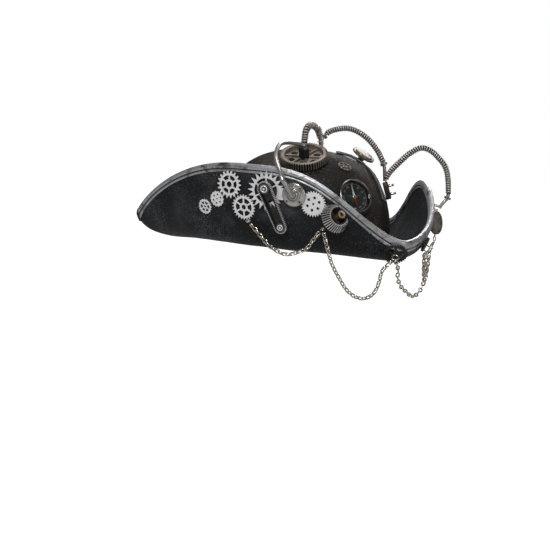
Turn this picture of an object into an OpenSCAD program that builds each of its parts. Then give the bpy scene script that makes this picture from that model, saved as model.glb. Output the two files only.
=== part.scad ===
// Cocked hat with clockwork dressing, worn level. All sizes in millimetres.
// +Z is up, -Y is the front and -X is the wearer's right.
// The origin is the middle of the head opening. Angles on the hat run from the
// front towards the wearer's right.

/* [Crown] */
// Outside width of the crown at its base
crown_w = 177; // [150:1:210]
// Outside length of the crown at its base
crown_l = 211; // [180:1:250]
// Height of the crown above the head opening
crown_h = 102; // [85:1:125]
// Squareness of the dome, where 2 is an ellipse
crown_square = 2.6; // [2.2:0.1:3.4]
// how far the back of the dome draws in towards its top
crown_slant = 0.3; // [0:0.05:0.35]
// Wall of the crown shell
crown_wall = 3; // [2:0.5:5]
// Thickness of the cloth lining
lining_wall = 1; // [0.5:0.1:2]
// Thickness of the sweatband
band_wall = 1.2; // [0.8:0.1:2]
// Height of the sweatband
band_h = 30; // [20:1:45]

/* [Brim] */
// Thickness of the brim
brim_t = 4; // [3:0.5:6]
// Front corner, from the middle of the hat
front_reach = 180; // [160:1:220]
// Rear corners, from the middle of the hat
rear_reach = 178; // [160:1:220]
// Flaps at their peaks, from the middle of the hat
flap_reach = 134; // [125:1:165]
// Height of the brim's edge at the front corner
front_tip_h = 19; // [12:1:30]
// Height of the brim's edge at the rear corners
rear_tip_h = 22; // [12:1:30]
// Peak of the right flap
right_flap_h = 83; // [60:1:105]
// Peak of the left flap
left_flap_h = 76; // [60:1:100]
// Peak of the back flap
back_flap_h = 62; // [45:1:80]
// How far the brim sags under the head opening
belly = 6.5; // [0:0.5:8]
// Width of the painted trim on each side of the edge
trim_w = 7; // [4:0.5:10]
// Thickness of the trim
trim_t = 1.2; // [0.8:0.1:2]

/* [Big gear] */
// Outside diameter of the big gear
big_gear_d = 50; // [40:1:60]
// Width of its rim
big_gear_t = 7; // [4:0.5:10]
// Number of its teeth
big_gear_teeth = 56; // [36:1:72]
// Diameter of the ribbed hub
hub_d = 11; // [8:0.5:16]
// Height of the ribbed hub
hub_h = 14; // [8:1:20]

/* [Compass] */
// Outside diameter of the compass
compass_d = 37; // [30:1:45]
// Depth of the compass case
compass_h = 6; // [5:0.5:9]
// Diameter of the needle's pivot
pivot_d = 1.2; // [1:0.1:2]
// Running gap between the pivot and the needle
pivot_gap = 0.15; // [0.1:0.05:0.3]

/* [Flap dressing] */
// Thickness of the stamped gears
stamp_t = 1; // [0.6:0.1:2]
// Outside diameter of the spiked gear behind the belt drive
spike_gear_d = 40; // [30:1:46]
// Distance between the pulleys of the belt drive
drive_pitch = 42; // [36:1:48]
// Diameter of the flange
flange_d = 24; // [18:1:30]
// Diameter of the deep cog
cog_d = 31; // [24:1:36]
// Diameter of the studded disc on the left flap
left_disc_d = 25; // [18:1:30]

/* [Hoses and chains] */
// Diameter of the bent pipe
pipe_d = 4.4; // [3:0.2:6]
// Diameter of the hose tubes
hose_d = 3.4; // [2.6:0.2:4]
// Outside diameter of the short hose's spring
short_spring_d = 8; // [6.5:0.5:10]
// Outside diameter of the long hoses' springs
long_spring_d = 7.2; // [5.5:0.1:8]
// Width of the chains
chain_w = 4.5; // [3:0.5:6]

/* [Hidden] */

round_fn = 48;            // facets where a round shape is exact anyway
ring_steps = 72;          // stations round the hat
glue = 0.1;               // gap left by a glue line
over_trim = trim_t + 0.2; // lift that clears the trim

// ---------- vectors ----------
function unit(v) = v / norm(v);
function across(v, n) = unit(v - (v * n) * n);      // the part of v at right angles to n
function mix(a, b, s) = a + (b - a) * s;

// Place children with their Z along n and their Y as near to "up" as it allows
module seat_at(o, n, up = [0, 0, 1], spin = 0) {
    y = across(up, n);
    x = cross(y, n);
    multmatrix([[x[0], y[0], n[0], o[0]], [x[1], y[1], n[1], o[1]], [x[2], y[2], n[2], o[2]], [0, 0, 0, 1]])
        rotate([0, 0, spin]) children();
}

// How far a flat disc of radius r, facing n at o, must stand off to clear the points
function stand_off(pts, o, n, r) =
    max([0, for (q = pts) let (d = q - o, h = d * n) if (norm(d - h * n) <= r) h]) + glue;

// ---------- the hat's surfaces ----------
function compass_dir(phi) = [-sin(phi), -cos(phi)];
function turned(phi, rz) = [-sin(phi) * rz[0], -cos(phi) * rz[0], rz[1]];
function base_r(phi, inset = 0) =
    1 / sqrt(pow(sin(phi) / (crown_w / 2 - inset), 2) + pow(cos(phi) / (crown_l / 2 - inset), 2));
function swell(s, a, b) = 1 - pow(1 - pow(s, a), b);

// Each flap: start, peak and end angle; peak height; rise and fall shapes
flaps = [
    [0, 62, 120, right_flap_h, [1.6, 4.3], [1.0, 2.7]],
    [120, 182, 245, back_flap_h, [1.5, 2.5], [1.5, 2.5]],
    [245, 292, 360, left_flap_h, [2.0, 2.4], [1.5, 1.6]]];
// Reach and height of the corner at the start of each flap, and back at the front
corners = [[front_reach, front_tip_h], [rear_reach, rear_tip_h], [rear_reach, rear_tip_h],
    [front_reach, front_tip_h]];
plan_shape = [1.15, 2.3];

function wrap(phi) = phi - 360 * floor(phi / 360);
function edge(phi) =
    let (p = wrap(phi), k = p < flaps[0][2] ? 0 : p < flaps[1][2] ? 1 : 2, f = flaps[k],
        rising = p <= f[1], s = rising ? (p - f[0]) / (f[1] - f[0]) : (f[2] - p) / (f[2] - f[1]),
        c = corners[rising ? k : k + 1], q = f[rising ? 4 : 5])
    [mix(c[0], flap_reach, swell(s, plan_shape[0], plan_shape[1])), mix(c[1], f[3], swell(s, q[0], q[1]))];

// Outer face of the brim: t runs from the head opening (0) to the edge (1)
function brim_rz(phi, t) = let (r0 = base_r(phi), e = edge(phi), a = 90 * t)
    [r0 + (e[0] - r0) * sin(a), e[1] * (1 - cos(a)) - belly * sin(2 * a)];
function brim_out(phi, t) = t == 0 ? [0, -1] : let (r0 = base_r(phi), e = edge(phi), a = 90 * t)
    unit([e[1] * sin(a) - 2 * belly * cos(2 * a), -(e[0] - r0) * cos(a)]);
function brim_face(phi, t, off = 0) = turned(phi, brim_rz(phi, t) + off * brim_out(phi, t));
function brim_pt(phi, t) = brim_face(phi, t);
function brim_n(phi, t) = unit(cross(brim_pt(phi, t + 0.01) - brim_pt(phi, t - 0.01),
    brim_pt(phi + 1, t) - brim_pt(phi - 1, t)));
function brim_patch(phi, t, r) = let (w = r / 130 * 60, h = r / 90)
    [for (i = [-6:6], j = [-6:6]) brim_pt(phi + i * w / 6, min(1, max(0.02, t + j * h / 6)))];

// Outer face of the dome, or the face an inset inside it: v runs from 0 at the base to 90
function crown_rz(phi, v, inset = 0) =
    [base_r(phi, inset) * pow(cos(v), 2 / crown_square) * (1 - crown_slant * pow(sin(phi / 2) * sin(v), 4)),
        brim_t + (crown_h - inset - brim_t) * pow(sin(v), 2 / crown_square)];
function crown_pt(phi, v) = turned(phi, crown_rz(phi, v));
function crown_n(phi, v) = unit(cross(crown_pt(phi, v + 0.5) - crown_pt(phi, v - 0.5),
    crown_pt(phi + 1, v) - crown_pt(phi - 1, v)));
function crown_patch(phi, v, r) = let (w = r / 60 * 60, h = r / 70 * 60)
    [for (i = [-6:6], j = [-6:6]) crown_pt(phi + i * w / 6, min(88, max(1, v + j * h / 6)))];

// ---------- solids from rings of points ----------
// A closed skin over equal rings, joined end to end when loop is true and capped otherwise
module skin(rings, loop = false) {
    m = len(rings);
    n = len(rings[0]);
    last = loop ? m - 1 : m - 2;
    walls = [for (i = [0:last], j = [0:n - 1])
        let (a = i * n + j, b = i * n + (j + 1) % n, c = (i + 1) % m * n + (j + 1) % n, d = (i + 1) % m * n + j)
        each [[a, c, b], [a, d, c]]];
    caps = loop ? [] : [[for (j = [0:n - 1]) j], [for (j = [n - 1:-1:0]) (m - 1) * n + j]];
    polyhedron([for (r = rings) each r], concat(walls, caps), convexity = 8);
}

function angles(steps) = [for (i = [0:steps - 1]) 360 / steps * i];
// Ring of the dome at v, flat at height z when z is given
function dome_ring(v, inset, steps) = [for (p = angles(steps)) turned(p, crown_rz(p, v, inset))];
function foot_ring(inset, steps) = [for (p = angles(steps)) turned(p, [base_r(p, inset), 0])];
module dome_shell(outer, inner, rows, steps) {
    vs = [for (i = [0:rows]) 88 * i / rows];
    skin(concat(
        [for (i = [rows:-1:0]) dome_ring(vs[i], outer, steps)], [foot_ring(outer, steps)],
        [foot_ring(inner, steps)], [for (v = vs) dome_ring(v, inner, steps)]));
}

// Round tube through points, its sections turned about the direction "side"
function path_dir(p, i) = unit(p[min(len(p) - 1, i + 1)] - p[max(0, i - 1)]);
function tube_ring(p, i, r, side, sides) =
    let (d = path_dir(p, i), u = across(side, d), w = cross(d, u))
    [for (k = [0:sides - 1]) let (a = 360 / sides * k) p[i] + r * (cos(a) * u + sin(a) * w)];
module tube(p, r, side, sides = 10) {
    skin([for (i = [0:len(p) - 1]) tube_ring(p, i, r, side, sides)]);
}
module sleeve(p, r_out, r_in, side, sides = 10) {
    skin(concat([for (i = [0:len(p) - 1]) tube_ring(p, i, r_out, side, sides)],
        [for (i = [len(p) - 1:-1:0]) tube_ring(p, i, r_in, side, sides)]), loop = true);
}
// Catmull-Rom curve through the points
function knot(p, i) = p[min(len(p) - 1, max(0, i))];
function curve_at(p, i, s) = let (a = knot(p, i - 1), b = p[i], c = p[i + 1], d = knot(p, i + 2))
    0.5 * (2 * b + (c - a) * s + (2 * a - 5 * b + 4 * c - d) * s * s + (3 * b - a - 3 * c + d) * s * s * s);
function curve(p, n = 3) = concat([for (i = [0:len(p) - 2], k = [0:n - 1]) curve_at(p, i, k / n)], [p[len(p) - 1]]);

// ---------- crown and brim ----------
module crown_shell() {
    color("#241f1d") dome_shell(0, crown_wall, 12, ring_steps);
}

module crown_lining() {
    color("#1a1718") dome_shell(crown_wall, crown_wall + lining_wall, 6, ring_steps / 2);
}

// The band hangs from the head opening, just inside the lining
module sweatband() {
    inset = crown_wall + lining_wall;
    steps = ring_steps / 2;
    v_top = asin(pow((band_h - brim_t) / (crown_h - inset - brim_t), crown_square / 2));
    shrink = base_r(0, inset) * (1 - pow(cos(v_top), 2 / crown_square)) + 0.8;
    outline = [for (p = angles(steps)) base_r(p, inset + shrink) * compass_dir(p)];
    hollow = [for (p = angles(steps)) base_r(p, inset + shrink + band_wall) * compass_dir(p)];
    color("#2b2320") linear_extrude(band_h) difference() {
        polygon(outline);
        polygon(hollow);
    }
}

// Share t at which the trim stops, and the stations of the brim's section
function trim_from(phi) = 1 - trim_w / edge(phi)[1] * 180 / PI / 90;
function brim_rows(phi) = let (a = trim_from(phi)) [for (i = [0:7]) a * i / 7, (a + 1) / 2, 1];
function brim_ring(k, off) = [for (p = angles(ring_steps)) brim_face(p, brim_rows(p)[k], off)];
module brim_shell() {
    rows = 9;
    color("#26282a") skin(concat(
        [for (k = [0:rows]) brim_ring(k, -brim_t)], [for (k = [rows:-1:0]) brim_ring(k, 0)]), loop = true);
}

// Folded strip over the edge: from "near" to "far" outside the brim's own faces
function strip_section(phi, near, far) =
    let (a = trim_from(phi), b = (a + 1) / 2, top = brim_rz(phi, 1), in = -brim_t)
    [brim_face(phi, a, far), brim_face(phi, b, far), turned(phi, top + [far, far]),
        turned(phi, top + [in - far, far]), brim_face(phi, b, in - far), brim_face(phi, a, in - far),
        brim_face(phi, a, in - near), brim_face(phi, b, in - near), turned(phi, top + [in - near, near]),
        turned(phi, top + [near, near]), brim_face(phi, b, near), brim_face(phi, a, near)];
module brim_trim() {
    color("#a9a6a2") skin([for (p = angles(ring_steps)) strip_section(p, 0, trim_t)], loop = true);
}

wrap_t = 0.8;             // thickness of the binding at the rear corners
wrap_near = trim_t + 0.3;
module corner_wrap(corner) {
    here = strip_section(corner, wrap_near, wrap_near + wrap_t);
    color("#191717") skin([for (k = [-1:1])
        mix(here, strip_section(corner + k * 360 / ring_steps, wrap_near, wrap_near + wrap_t), abs(k) * 0.3)]);
}
module corner_wrap_right() { corner_wrap(flaps[0][2]); }
module corner_wrap_left() { corner_wrap(flaps[1][2]); }

// ---------- zip over the crown ----------
zip_w = 8;
zip_t = 1.2;
zip_lift = 0.4;
zip_tooth = 1.3;
zip_route = [[-44, 57], [-38, 52], [-33, 45], [-28, 36], [-25, 25]];   // angle, station on the dome
zip_line = curve(zip_route, 4);
function zip_pt(i) = crown_pt(zip_line[i][0], zip_line[i][1]);
function zip_up(i) = crown_n(zip_line[i][0], zip_line[i][1]);
function zip_dir(i) = unit(zip_pt(min(len(zip_line) - 1, i + 1)) - zip_pt(max(0, i - 1)));
module zip_tape() {
    color("#141313") skin([for (i = [0:len(zip_line) - 1])
        let (o = zip_pt(i), n = across(zip_up(i), zip_dir(i)), s = cross(n, zip_dir(i)) * zip_w / 2)
        [o + s + n * zip_lift, o + s + n * (zip_lift + zip_t),
            o - s + n * (zip_lift + zip_t), o - s + n * zip_lift]]);
}
module zip_teeth() {
    color("#5c5650") for (i = [0:len(zip_line) - 1], side = [-1, 1])
        seat_at(zip_pt(i) + zip_up(i) * (zip_lift + zip_t), across(zip_up(i), zip_dir(i)), zip_dir(i))
            translate([side * (zip_w - zip_tooth) / 2, 0, zip_tooth / 2])
                cube([zip_tooth, zip_tooth, zip_tooth], center = true);
}

// ---------- gears ----------
// Outline of a gear: flat teeth when tip is above 0, spikes when it is 0
function teeth_outline(n, root, outer, tip) = let (p = 360 / n) [for (i = [0:n - 1])
    let (a = p * i) each tip > 0
        ? [root * [cos(a - p * 0.3), sin(a - p * 0.3)], outer * [cos(a - p * tip / 2), sin(a - p * tip / 2)],
            outer * [cos(a + p * tip / 2), sin(a + p * tip / 2)], root * [cos(a + p * 0.3), sin(a + p * 0.3)]]
        : [root * [cos(a - p * 0.4), sin(a - p * 0.4)], outer * [cos(a), sin(a)],
            root * [cos(a + p * 0.4), sin(a + p * 0.4)]]];

// Flat spoked gear, r_rim and r_hub bound its windows
module spoked_gear(n, outer, tooth, tip, r_rim, r_hub, r_bore, spokes, spoke_w, t) {
    linear_extrude(t) difference() {
        polygon(teeth_outline(n, outer - tooth, outer, tip));
        difference() {
            circle(r_rim, $fn = round_fn);
            circle(r_hub, $fn = round_fn);
            for (k = [0:spokes - 1]) rotate(360 / spokes * k + 90)
                translate([0, -spoke_w / 2]) square([r_rim + 1, spoke_w]);
        }
        circle(r_bore, $fn = round_fn);
    }
}
// Flat gear with a ring of round holes
module holed_gear(n, outer, tooth, tip, holes, r_holes, hole_r, r_bore, t) {
    linear_extrude(t) difference() {
        polygon(teeth_outline(n, outer - tooth, outer, tip));
        circle(r_bore, $fn = round_fn);
        for (k = [0:holes - 1]) rotate(360 / holes * k + 20) translate([r_holes, 0]) circle(hole_r, $fn = round_fn);
    }
}
// Put a flat gear of radius r on the outer face of the brim
module on_brim(phi, t, r, lift = 0, spin = 0) {
    o = brim_pt(phi, t);
    n = brim_n(phi, t);
    seat_at(o + n * (stand_off(brim_patch(phi, t, r), o, n, r) + lift), n, spin = spin) children();
}
module on_crown(phi, v, lift = 0, spin = 0) {
    n = crown_n(phi, v);
    seat_at(crown_pt(phi, v) + n * (glue + lift), n, spin = spin) children();
}

// Stamped gears in a row along the right flap: [angle, share of the way up the brim]
ring_gear_at = [84, 0.69];
button_gear_at = [77, 0.75];
upper_gear_at = [70, 0.86];
lower_gear_at = [63, 0.7];
spike_gear_at = [52, 0.84];
pierced_gear_at = [31.5, 0.83];

module ring_gear() {
    color("#c9cacb") on_brim(ring_gear_at[0], ring_gear_at[1], 8)
        spoked_gear(16, 8, 0.8, 0.35, 5.6, 2.6, 1.3, 6, 1.2, stamp_t);
}
module button_gear() {
    color("#c9cacb") on_brim(button_gear_at[0], button_gear_at[1], 8)
        holed_gear(14, 8.2, 0.7, 0.4, 6, 4.6, 1.1, 0.9, stamp_t);
}
module upper_gear() {
    color("#c9cacb") on_brim(upper_gear_at[0], upper_gear_at[1], 14, lift = stamp_t + 0.3)
        spoked_gear(18, 14, 2.6, 0.25, 9.2, 5.2, 3, 6, 1.7, stamp_t);
}
module lower_gear() {
    color("#c9cacb") on_brim(lower_gear_at[0], lower_gear_at[1], 13.5)
        spoked_gear(24, 13.5, 2.2, 0, 9.2, 4.6, 2.5, 6, 1.6, stamp_t);
}
module spike_gear() {
    r = spike_gear_d / 2;
    color("#c9cacb") on_brim(spike_gear_at[0], spike_gear_at[1], r, lift = stamp_t + glue) {
        spoked_gear(20, r, 5.5, 0, r - 7.5, 5, 2.5, 6, 1.4, stamp_t);
        translate([r - 7, -3, 0]) linear_extrude(stamp_t) difference() {
            translate([0, -5]) square([6.4, 12]);
            for (y = [-2, 3]) translate([3.6, y]) circle(1.1, $fn = round_fn);
        }
    }
}
module pierced_gear() {
    color("#c9cacb") on_brim(pierced_gear_at[0], pierced_gear_at[1], 13.5)
        holed_gear(28, 13.5, 2.2, 0, 6, 6.4, 1.4, 1.1, stamp_t);
}

// ---------- big gear on the crown ----------
big_gear_at = [38.5, 59.5];     // angle, station on the dome
big_n = crown_n(big_gear_at[0], big_gear_at[1]);
big_o = crown_pt(big_gear_at[0], big_gear_at[1]) + big_n * glue;
big_web = 2.5;                // thickness of the web inside the rim
big_rim = 4.5;                // width of the rim under the teeth
module big_gear() {
    r = big_gear_d / 2;
    color("#6b5d52") seat_at(big_o, big_n) {
        linear_extrude(big_gear_t) difference() {
            polygon(teeth_outline(big_gear_teeth, r - 1.8, r, 0.35));
            circle(r - big_rim, $fn = round_fn);
        }
        linear_extrude(big_web) difference() {
            circle(r - big_rim, $fn = round_fn);
            circle(hub_d / 2, $fn = round_fn);
            for (k = [0:5]) rotate(60 * k + 30) translate([r * 0.56, 0]) circle(r * 0.15, $fn = round_fn);
        }
        for (k = [0:5]) rotate(60 * k) translate([hub_d / 2 + 0.5, -0.8, big_web])
            cube([r - big_rim - hub_d / 2 - 0.7, 1.6, 2]);
    }
}
module big_gear_hub() {
    ribs = 12;
    color("#23211f") seat_at(big_o, big_n) {
        cylinder(h = big_web, r = hub_d / 2 - 0.05, $fn = round_fn);
        translate([0, 0, big_web]) linear_extrude(hub_h - big_web)
            polygon(teeth_outline(ribs, hub_d / 2 - 1.6, hub_d / 2 - 0.1, 0.4));
    }
}

// ---------- bent pipe and its flange ----------
flange_at = [39.3, 0.85];
flange_r = flange_d / 2;
flange_n = brim_n(flange_at[0], flange_at[1]);
flange_o = brim_pt(flange_at[0], flange_at[1])
    + flange_n * stand_off(brim_patch(flange_at[0], flange_at[1], flange_r), brim_pt(flange_at[0], flange_at[1]),
        flange_n, flange_r) + flange_n * (2 * stamp_t + 0.9);
flange_t = 2;
collar_h = 4;
boss_r = 3.2;
screw_r = 0.9;
module flange_plate() {
    color("#a59c93") seat_at(flange_o, flange_n) difference() {
        union() {
            cylinder(h = flange_t - 0.6, r = flange_r, $fn = round_fn);
            translate([0, 0, flange_t - 0.6]) cylinder(h = 0.6, r1 = flange_r, r2 = flange_r - 0.8, $fn = round_fn);
        }
        for (k = [0:3]) rotate(90 * k + 45) translate([flange_r * 0.8, 0, -1])
            cylinder(h = flange_t + 2, r = screw_r, $fn = round_fn);
    }
}
module flange_collar() {
    color("#8f857c") seat_at(flange_o + flange_n * flange_t, flange_n) {
        cylinder(h = 1.2, r = flange_r * 0.6, $fn = round_fn);
        translate([0, 0, 1.2]) cylinder(h = 1.2, r = flange_r * 0.42, $fn = round_fn);
        translate([0, 0, 2.4]) cylinder(h = collar_h - 2.4, r = boss_r, $fn = round_fn);
    }
}
module flange_screws() {
    color("#4a4440") seat_at(flange_o, flange_n) for (k = [0:3]) rotate(90 * k + 45)
        translate([flange_r * 0.8, 0, 0.3]) cylinder(h = flange_t - 0.6, r = screw_r - 0.02, $fn = round_fn);
}
// Bends of the pipe: share of the way out, sideways, and rise above the hub
pipe_bends = [[0.04, 4, 1], [0.22, 14, 2], [0.45, 20, 0], [0.7, 21, -7], [0.88, 19, -15],
    [1.02, 14, -24], [1.1, 9, -34], [1.08, 4, -41]];
pipe_start = big_o + big_n * (hub_h + 0.5) + [0, 0, pipe_d / 2 - 0.5];
pipe_end = flange_o + flange_n * (flange_t + collar_h + pipe_d / 2 - 0.2);
pipe_run = [pipe_end[0] - pipe_start[0], pipe_end[1] - pipe_start[1], 0];
pipe_side = cross(unit(pipe_run), [0, 0, 1]);
pipe_path = curve(concat([pipe_start], [for (b = pipe_bends)
    pipe_start + pipe_run * b[0] + pipe_side * b[1] + [0, 0, b[2]]], [pipe_end]), 3);
module bent_pipe() {
    color("#b3aaa2") tube(pipe_path, pipe_d / 2, [0.3, 0.2, 1], 10);
}

// ---------- belt drive over the spiked gear ----------
drive_top = [51.5, 0.865];
drive_foot = [43.3, 0.57];
drive_a = brim_pt(drive_top[0], drive_top[1]);
drive_x = unit(brim_pt(drive_foot[0], drive_foot[1]) - drive_a);
drive_n = across(brim_n(drive_top[0], drive_top[1]) + brim_n(drive_foot[0], drive_foot[1]), drive_x);
drive_lift = 2 * stamp_t + 3 * glue + stand_off(concat(brim_patch(drive_top[0], drive_top[1], 24),
    brim_patch(drive_foot[0], drive_foot[1], 24)), drive_a, drive_n, drive_pitch + 8) + 2.2;
drive_o = drive_a + drive_n * drive_lift;
top_pulley_r = 5.6;
foot_pulley_r = 4.6;
plate_t = 0.8;
belt_t = 1.3;
belt_w = 3;
pin_r = 1.1;
module in_drive() { seat_at(drive_o, drive_n, up = -drive_x) children(); }
// Outline round two circles a pitch apart and their common tangents
strap_steps = 14;
function strap_outline(r_top, r_foot) = let (tilt = asin((r_top - r_foot) / drive_pitch)) concat(
    [for (k = [0:strap_steps]) let (a = (180 + 2 * tilt) * k / strap_steps - tilt) r_top * [cos(a), sin(a)]],
    [for (k = [0:strap_steps]) let (a = (180 - 2 * tilt) * k / strap_steps + 180 + tilt)
        [r_foot * cos(a), r_foot * sin(a) - drive_pitch]]);
module drive_plate() {
    color("#4d4a48") in_drive() linear_extrude(plate_t) difference() {
        polygon(strap_outline(top_pulley_r + belt_t, foot_pulley_r + belt_t));
        translate([0, -drive_pitch / 2]) square([5, drive_pitch - 26], center = true);
        circle(pin_r, $fn = round_fn);
        translate([0, -drive_pitch]) circle(pin_r, $fn = round_fn);
    }
}
module drive_belt() {
    color("#8d8983") in_drive() translate([0, 0, plate_t + glue]) linear_extrude(belt_w) difference() {
        polygon(strap_outline(top_pulley_r + belt_t + 0.15, foot_pulley_r + belt_t + 0.15));
        polygon(strap_outline(top_pulley_r + 0.15, foot_pulley_r + 0.15));
    }
}
module pulley(r) {
    difference() {
        union() {
            cylinder(h = belt_w, r = r, $fn = round_fn);
            translate([0, 0, belt_w]) cylinder(h = 0.5, r = r * 0.62, $fn = round_fn);
        }
        translate([0, 0, -1]) cylinder(h = belt_w + 3, r = pin_r, $fn = round_fn);
    }
}
module upper_pulley() { color("#8d8983") in_drive() translate([0, 0, plate_t + glue]) pulley(top_pulley_r); }
module lower_pulley() {
    color("#8d8983") in_drive() translate([0, -drive_pitch, plate_t + glue]) pulley(foot_pulley_r);
}
module pulley_pins() {
    color("#b9b6b2") in_drive() for (y = [0, -drive_pitch]) translate([0, y, -0.8]) {
        cylinder(h = 0.8, r = pin_r + 1, $fn = round_fn);
        cylinder(h = 0.8 + plate_t + glue + belt_w + 1, r = pin_r, $fn = round_fn);
    }
}

// ---------- deep cog ----------
cog_at = [23, 0.81];
cog_r = cog_d / 2;
cog_n = unit([-0.08, -0.9, 0.34]);
cog_wall_n = brim_n(cog_at[0], cog_at[1]);
cog_wall = brim_pt(cog_at[0], cog_at[1]) + cog_wall_n * stand_off(
    brim_patch(cog_at[0], cog_at[1], cog_r + 3), brim_pt(cog_at[0], cog_at[1]), cog_wall_n, cog_r + 3);
cog_o = cog_wall + cog_wall_n * 1.5;
cog_h = 8;
cog_taper = 0.74;
cup_r = cog_r * cog_taper - 2.2;
// The cog is set in at a slant: what would lie behind the flap's face is cut away
module on_cog() {
    intersection() {
        seat_at(cog_o, cog_n) children();
        seat_at(cog_wall, cog_wall_n) translate([-cog_d, -cog_d, stamp_t + glue]) cube([2 * cog_d, 2 * cog_d, cog_d]);
    }
}
module deep_cog() {
    color("#8e8a86") on_cog() difference() {
        linear_extrude(cog_h, scale = cog_taper) polygon(teeth_outline(36, cog_r - 1.6, cog_r, 0.45));
        translate([0, 0, -1]) cylinder(h = cog_h + 2, r = cup_r, $fn = round_fn);
    }
}
module deep_cog_cup() {
    color("#46362b") on_cog() difference() {
        cylinder(h = cog_h - 1, r = cup_r - 0.05, $fn = round_fn);
        translate([0, 0, 1.2]) cylinder(h = cog_h, r = cup_r - 1.2, $fn = round_fn);
    }
}
module deep_cog_horn() {
    color("#8a6a4c") on_cog() translate([0, 0, 1.2 + glue]) difference() {
        union() {
            cylinder(h = 9.5, r = 2.8, $fn = round_fn);
            translate([0, 0, 9.5]) cylinder(h = 3, r1 = 2.8, r2 = 4.2, $fn = round_fn);
        }
        translate([0, 0, 1]) cylinder(h = 15, r = 1.9, $fn = round_fn);
    }
}

// ---------- compass on the front of the crown ----------
compass_at = [4.3, 26.2];
compass_r = compass_d / 2;
compass_n = crown_n(compass_at[0], compass_at[1]);
compass_o = crown_pt(compass_at[0], compass_at[1]) + compass_n * glue;
case_wall = 1;
dial_t = 0.6;
glass_t = 1.2;
bezel_w = 1.8;
needle_t = 0.4;
needle_l = 13.5;
needle_w = 2.6;
needle_z = case_wall + dial_t + 1;
module in_compass() { seat_at(compass_o, compass_n) children(); }
module compass_case() {
    color("#8b8783") in_compass() difference() {
        cylinder(h = compass_h, r = compass_r - 0.5, $fn = round_fn);
        translate([0, 0, case_wall]) cylinder(h = compass_h, r = compass_r - 0.5 - case_wall, $fn = round_fn);
    }
}
module compass_bezel() {
    color("#9a9691") in_compass() translate([0, 0, compass_h]) difference() {
        cylinder(h = 1.4, r1 = compass_r, r2 = compass_r - 0.8, $fn = round_fn);
        translate([0, 0, -1]) cylinder(h = 4, r = compass_r - bezel_w, $fn = round_fn);
    }
}
module compass_dial() {
    color("#15181a") in_compass() translate([0, 0, case_wall])
        cylinder(h = dial_t, r = compass_r - 0.5 - case_wall - 0.05, $fn = round_fn);
}
module compass_pivot() {
    color("#c2a878") in_compass() translate([0, 0, case_wall + dial_t]) {
        cylinder(h = 0.6, r = pivot_d, $fn = round_fn);
        cylinder(h = 1 + needle_t + 0.8, r = pivot_d / 2, $fn = round_fn);
    }
}
module compass_needle() {
    bore = pivot_d / 2 + pivot_gap;
    color("#d8d4cc") in_compass() translate([0, 0, needle_z]) rotate(8) linear_extrude(needle_t) difference() {
        union() {
            polygon([[0, needle_l], [-needle_w / 2, 0], [0, -needle_l], [needle_w / 2, 0]]);
            circle(needle_w / 2 + 0.4, $fn = round_fn);
        }
        circle(bore, $fn = round_fn);
    }
}
module compass_glass() {
    color([0.8, 0.9, 0.9, 0.35]) in_compass() translate([0, 0, compass_h - glass_t])
        cylinder(h = glass_t, r = compass_r - 0.5 - case_wall - 0.05, $fn = round_fn);
}

// ---------- small gear, disc and bar on the crown ----------
module crown_gear() {
    color("#4c423b") on_crown(1.5, 53.5) spoked_gear(12, 7.8, 1, 0.4, 5.6, 2.4, 1, 6, 1.2, 1.4);
}
disc_at = [-62, 58];
disc_r = 13;
disc_n = unit([0.2, -0.5, 0.84]);
disc_lift = 5;
disc_surface = crown_pt(disc_at[0], disc_at[1]);
disc_o = disc_surface + disc_n * stand_off(crown_patch(disc_at[0], disc_at[1], disc_r + 4), disc_surface, disc_n,
    disc_r + 1) + disc_n * disc_lift;
disc_post = (disc_o - disc_surface) * disc_n
    - stand_off(crown_patch(disc_at[0], disc_at[1], 6), disc_surface, disc_n, 4);
module crown_disc() {
    color("#7b6a5b") seat_at(disc_o, disc_n) {
        translate([0, 0, -disc_post]) cylinder(h = disc_post, r = 3.5, $fn = round_fn);
        linear_extrude(2) polygon(teeth_outline(44, disc_r - 1, disc_r, 0.4));
        translate([0, 0, 2]) cylinder(h = 1.4, r = disc_r - 3, $fn = round_fn);
    }
}
bar_d = 3.6;
bar_route = [[-18, 75], [-34, 71], [-46, 66], [-52, 60], [-55, 54]];
module crown_bar() {
    color("#9d948b") tube([for (b = curve(bar_route, 2)) crown_pt(b[0], b[1]) + crown_n(b[0], b[1]) * (bar_d / 2 + 0.3)],
        bar_d / 2, [1, -1, 0], 10);
}

// ---------- hoses ----------
// A hose lies in the upright plane through its two ends. Its stations are the share
// of the way across and the rise above the first end.
function arch(a, b, stations) = let (run = [b[0] - a[0], b[1] - a[1], 0])
    [for (s = stations) a + run * s[0] + [0, 0, s[1]]];
function arch_side(a, b) = unit(cross([b[0] - a[0], b[1] - a[1], 0], [0, 0, 1]));
function part_of(p, a, b) = [for (i = [a:b]) p[i]];
hose_r = hose_d / 2;
sleeve_gap = 0.15;

block_at = [-45, 31];
block_size = [14, 19, 5.5];     // along the crown, up and out
block_n = unit([0.73, -0.6, 0.32]);
block_surface = crown_pt(block_at[0], block_at[1]);
block_o = block_surface + block_n * stand_off(crown_patch(block_at[0], block_at[1], 14), block_surface, block_n, 12);
block_up = across([0, 0, 1], block_n);
block_along = cross(block_up, block_n);
block_top = block_o + block_n * block_size[2] / 2 + block_up * block_size[1] / 2;
module hose_block() {
    color("#2c211b") seat_at(block_o, block_n) translate([0, 0, block_size[2] / 2]) cube(block_size, center = true);
}
prong_r = 1.5;
module hose_block_prongs() {
    color("#6d655d") seat_at(block_o + block_n * block_size[2], block_n) for (y = [-4.5, 4.5], x = [-2.5, 2.5])
        translate([x, y, 0]) cylinder(h = 6, r = prong_r, $fn = round_fn);
}

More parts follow.
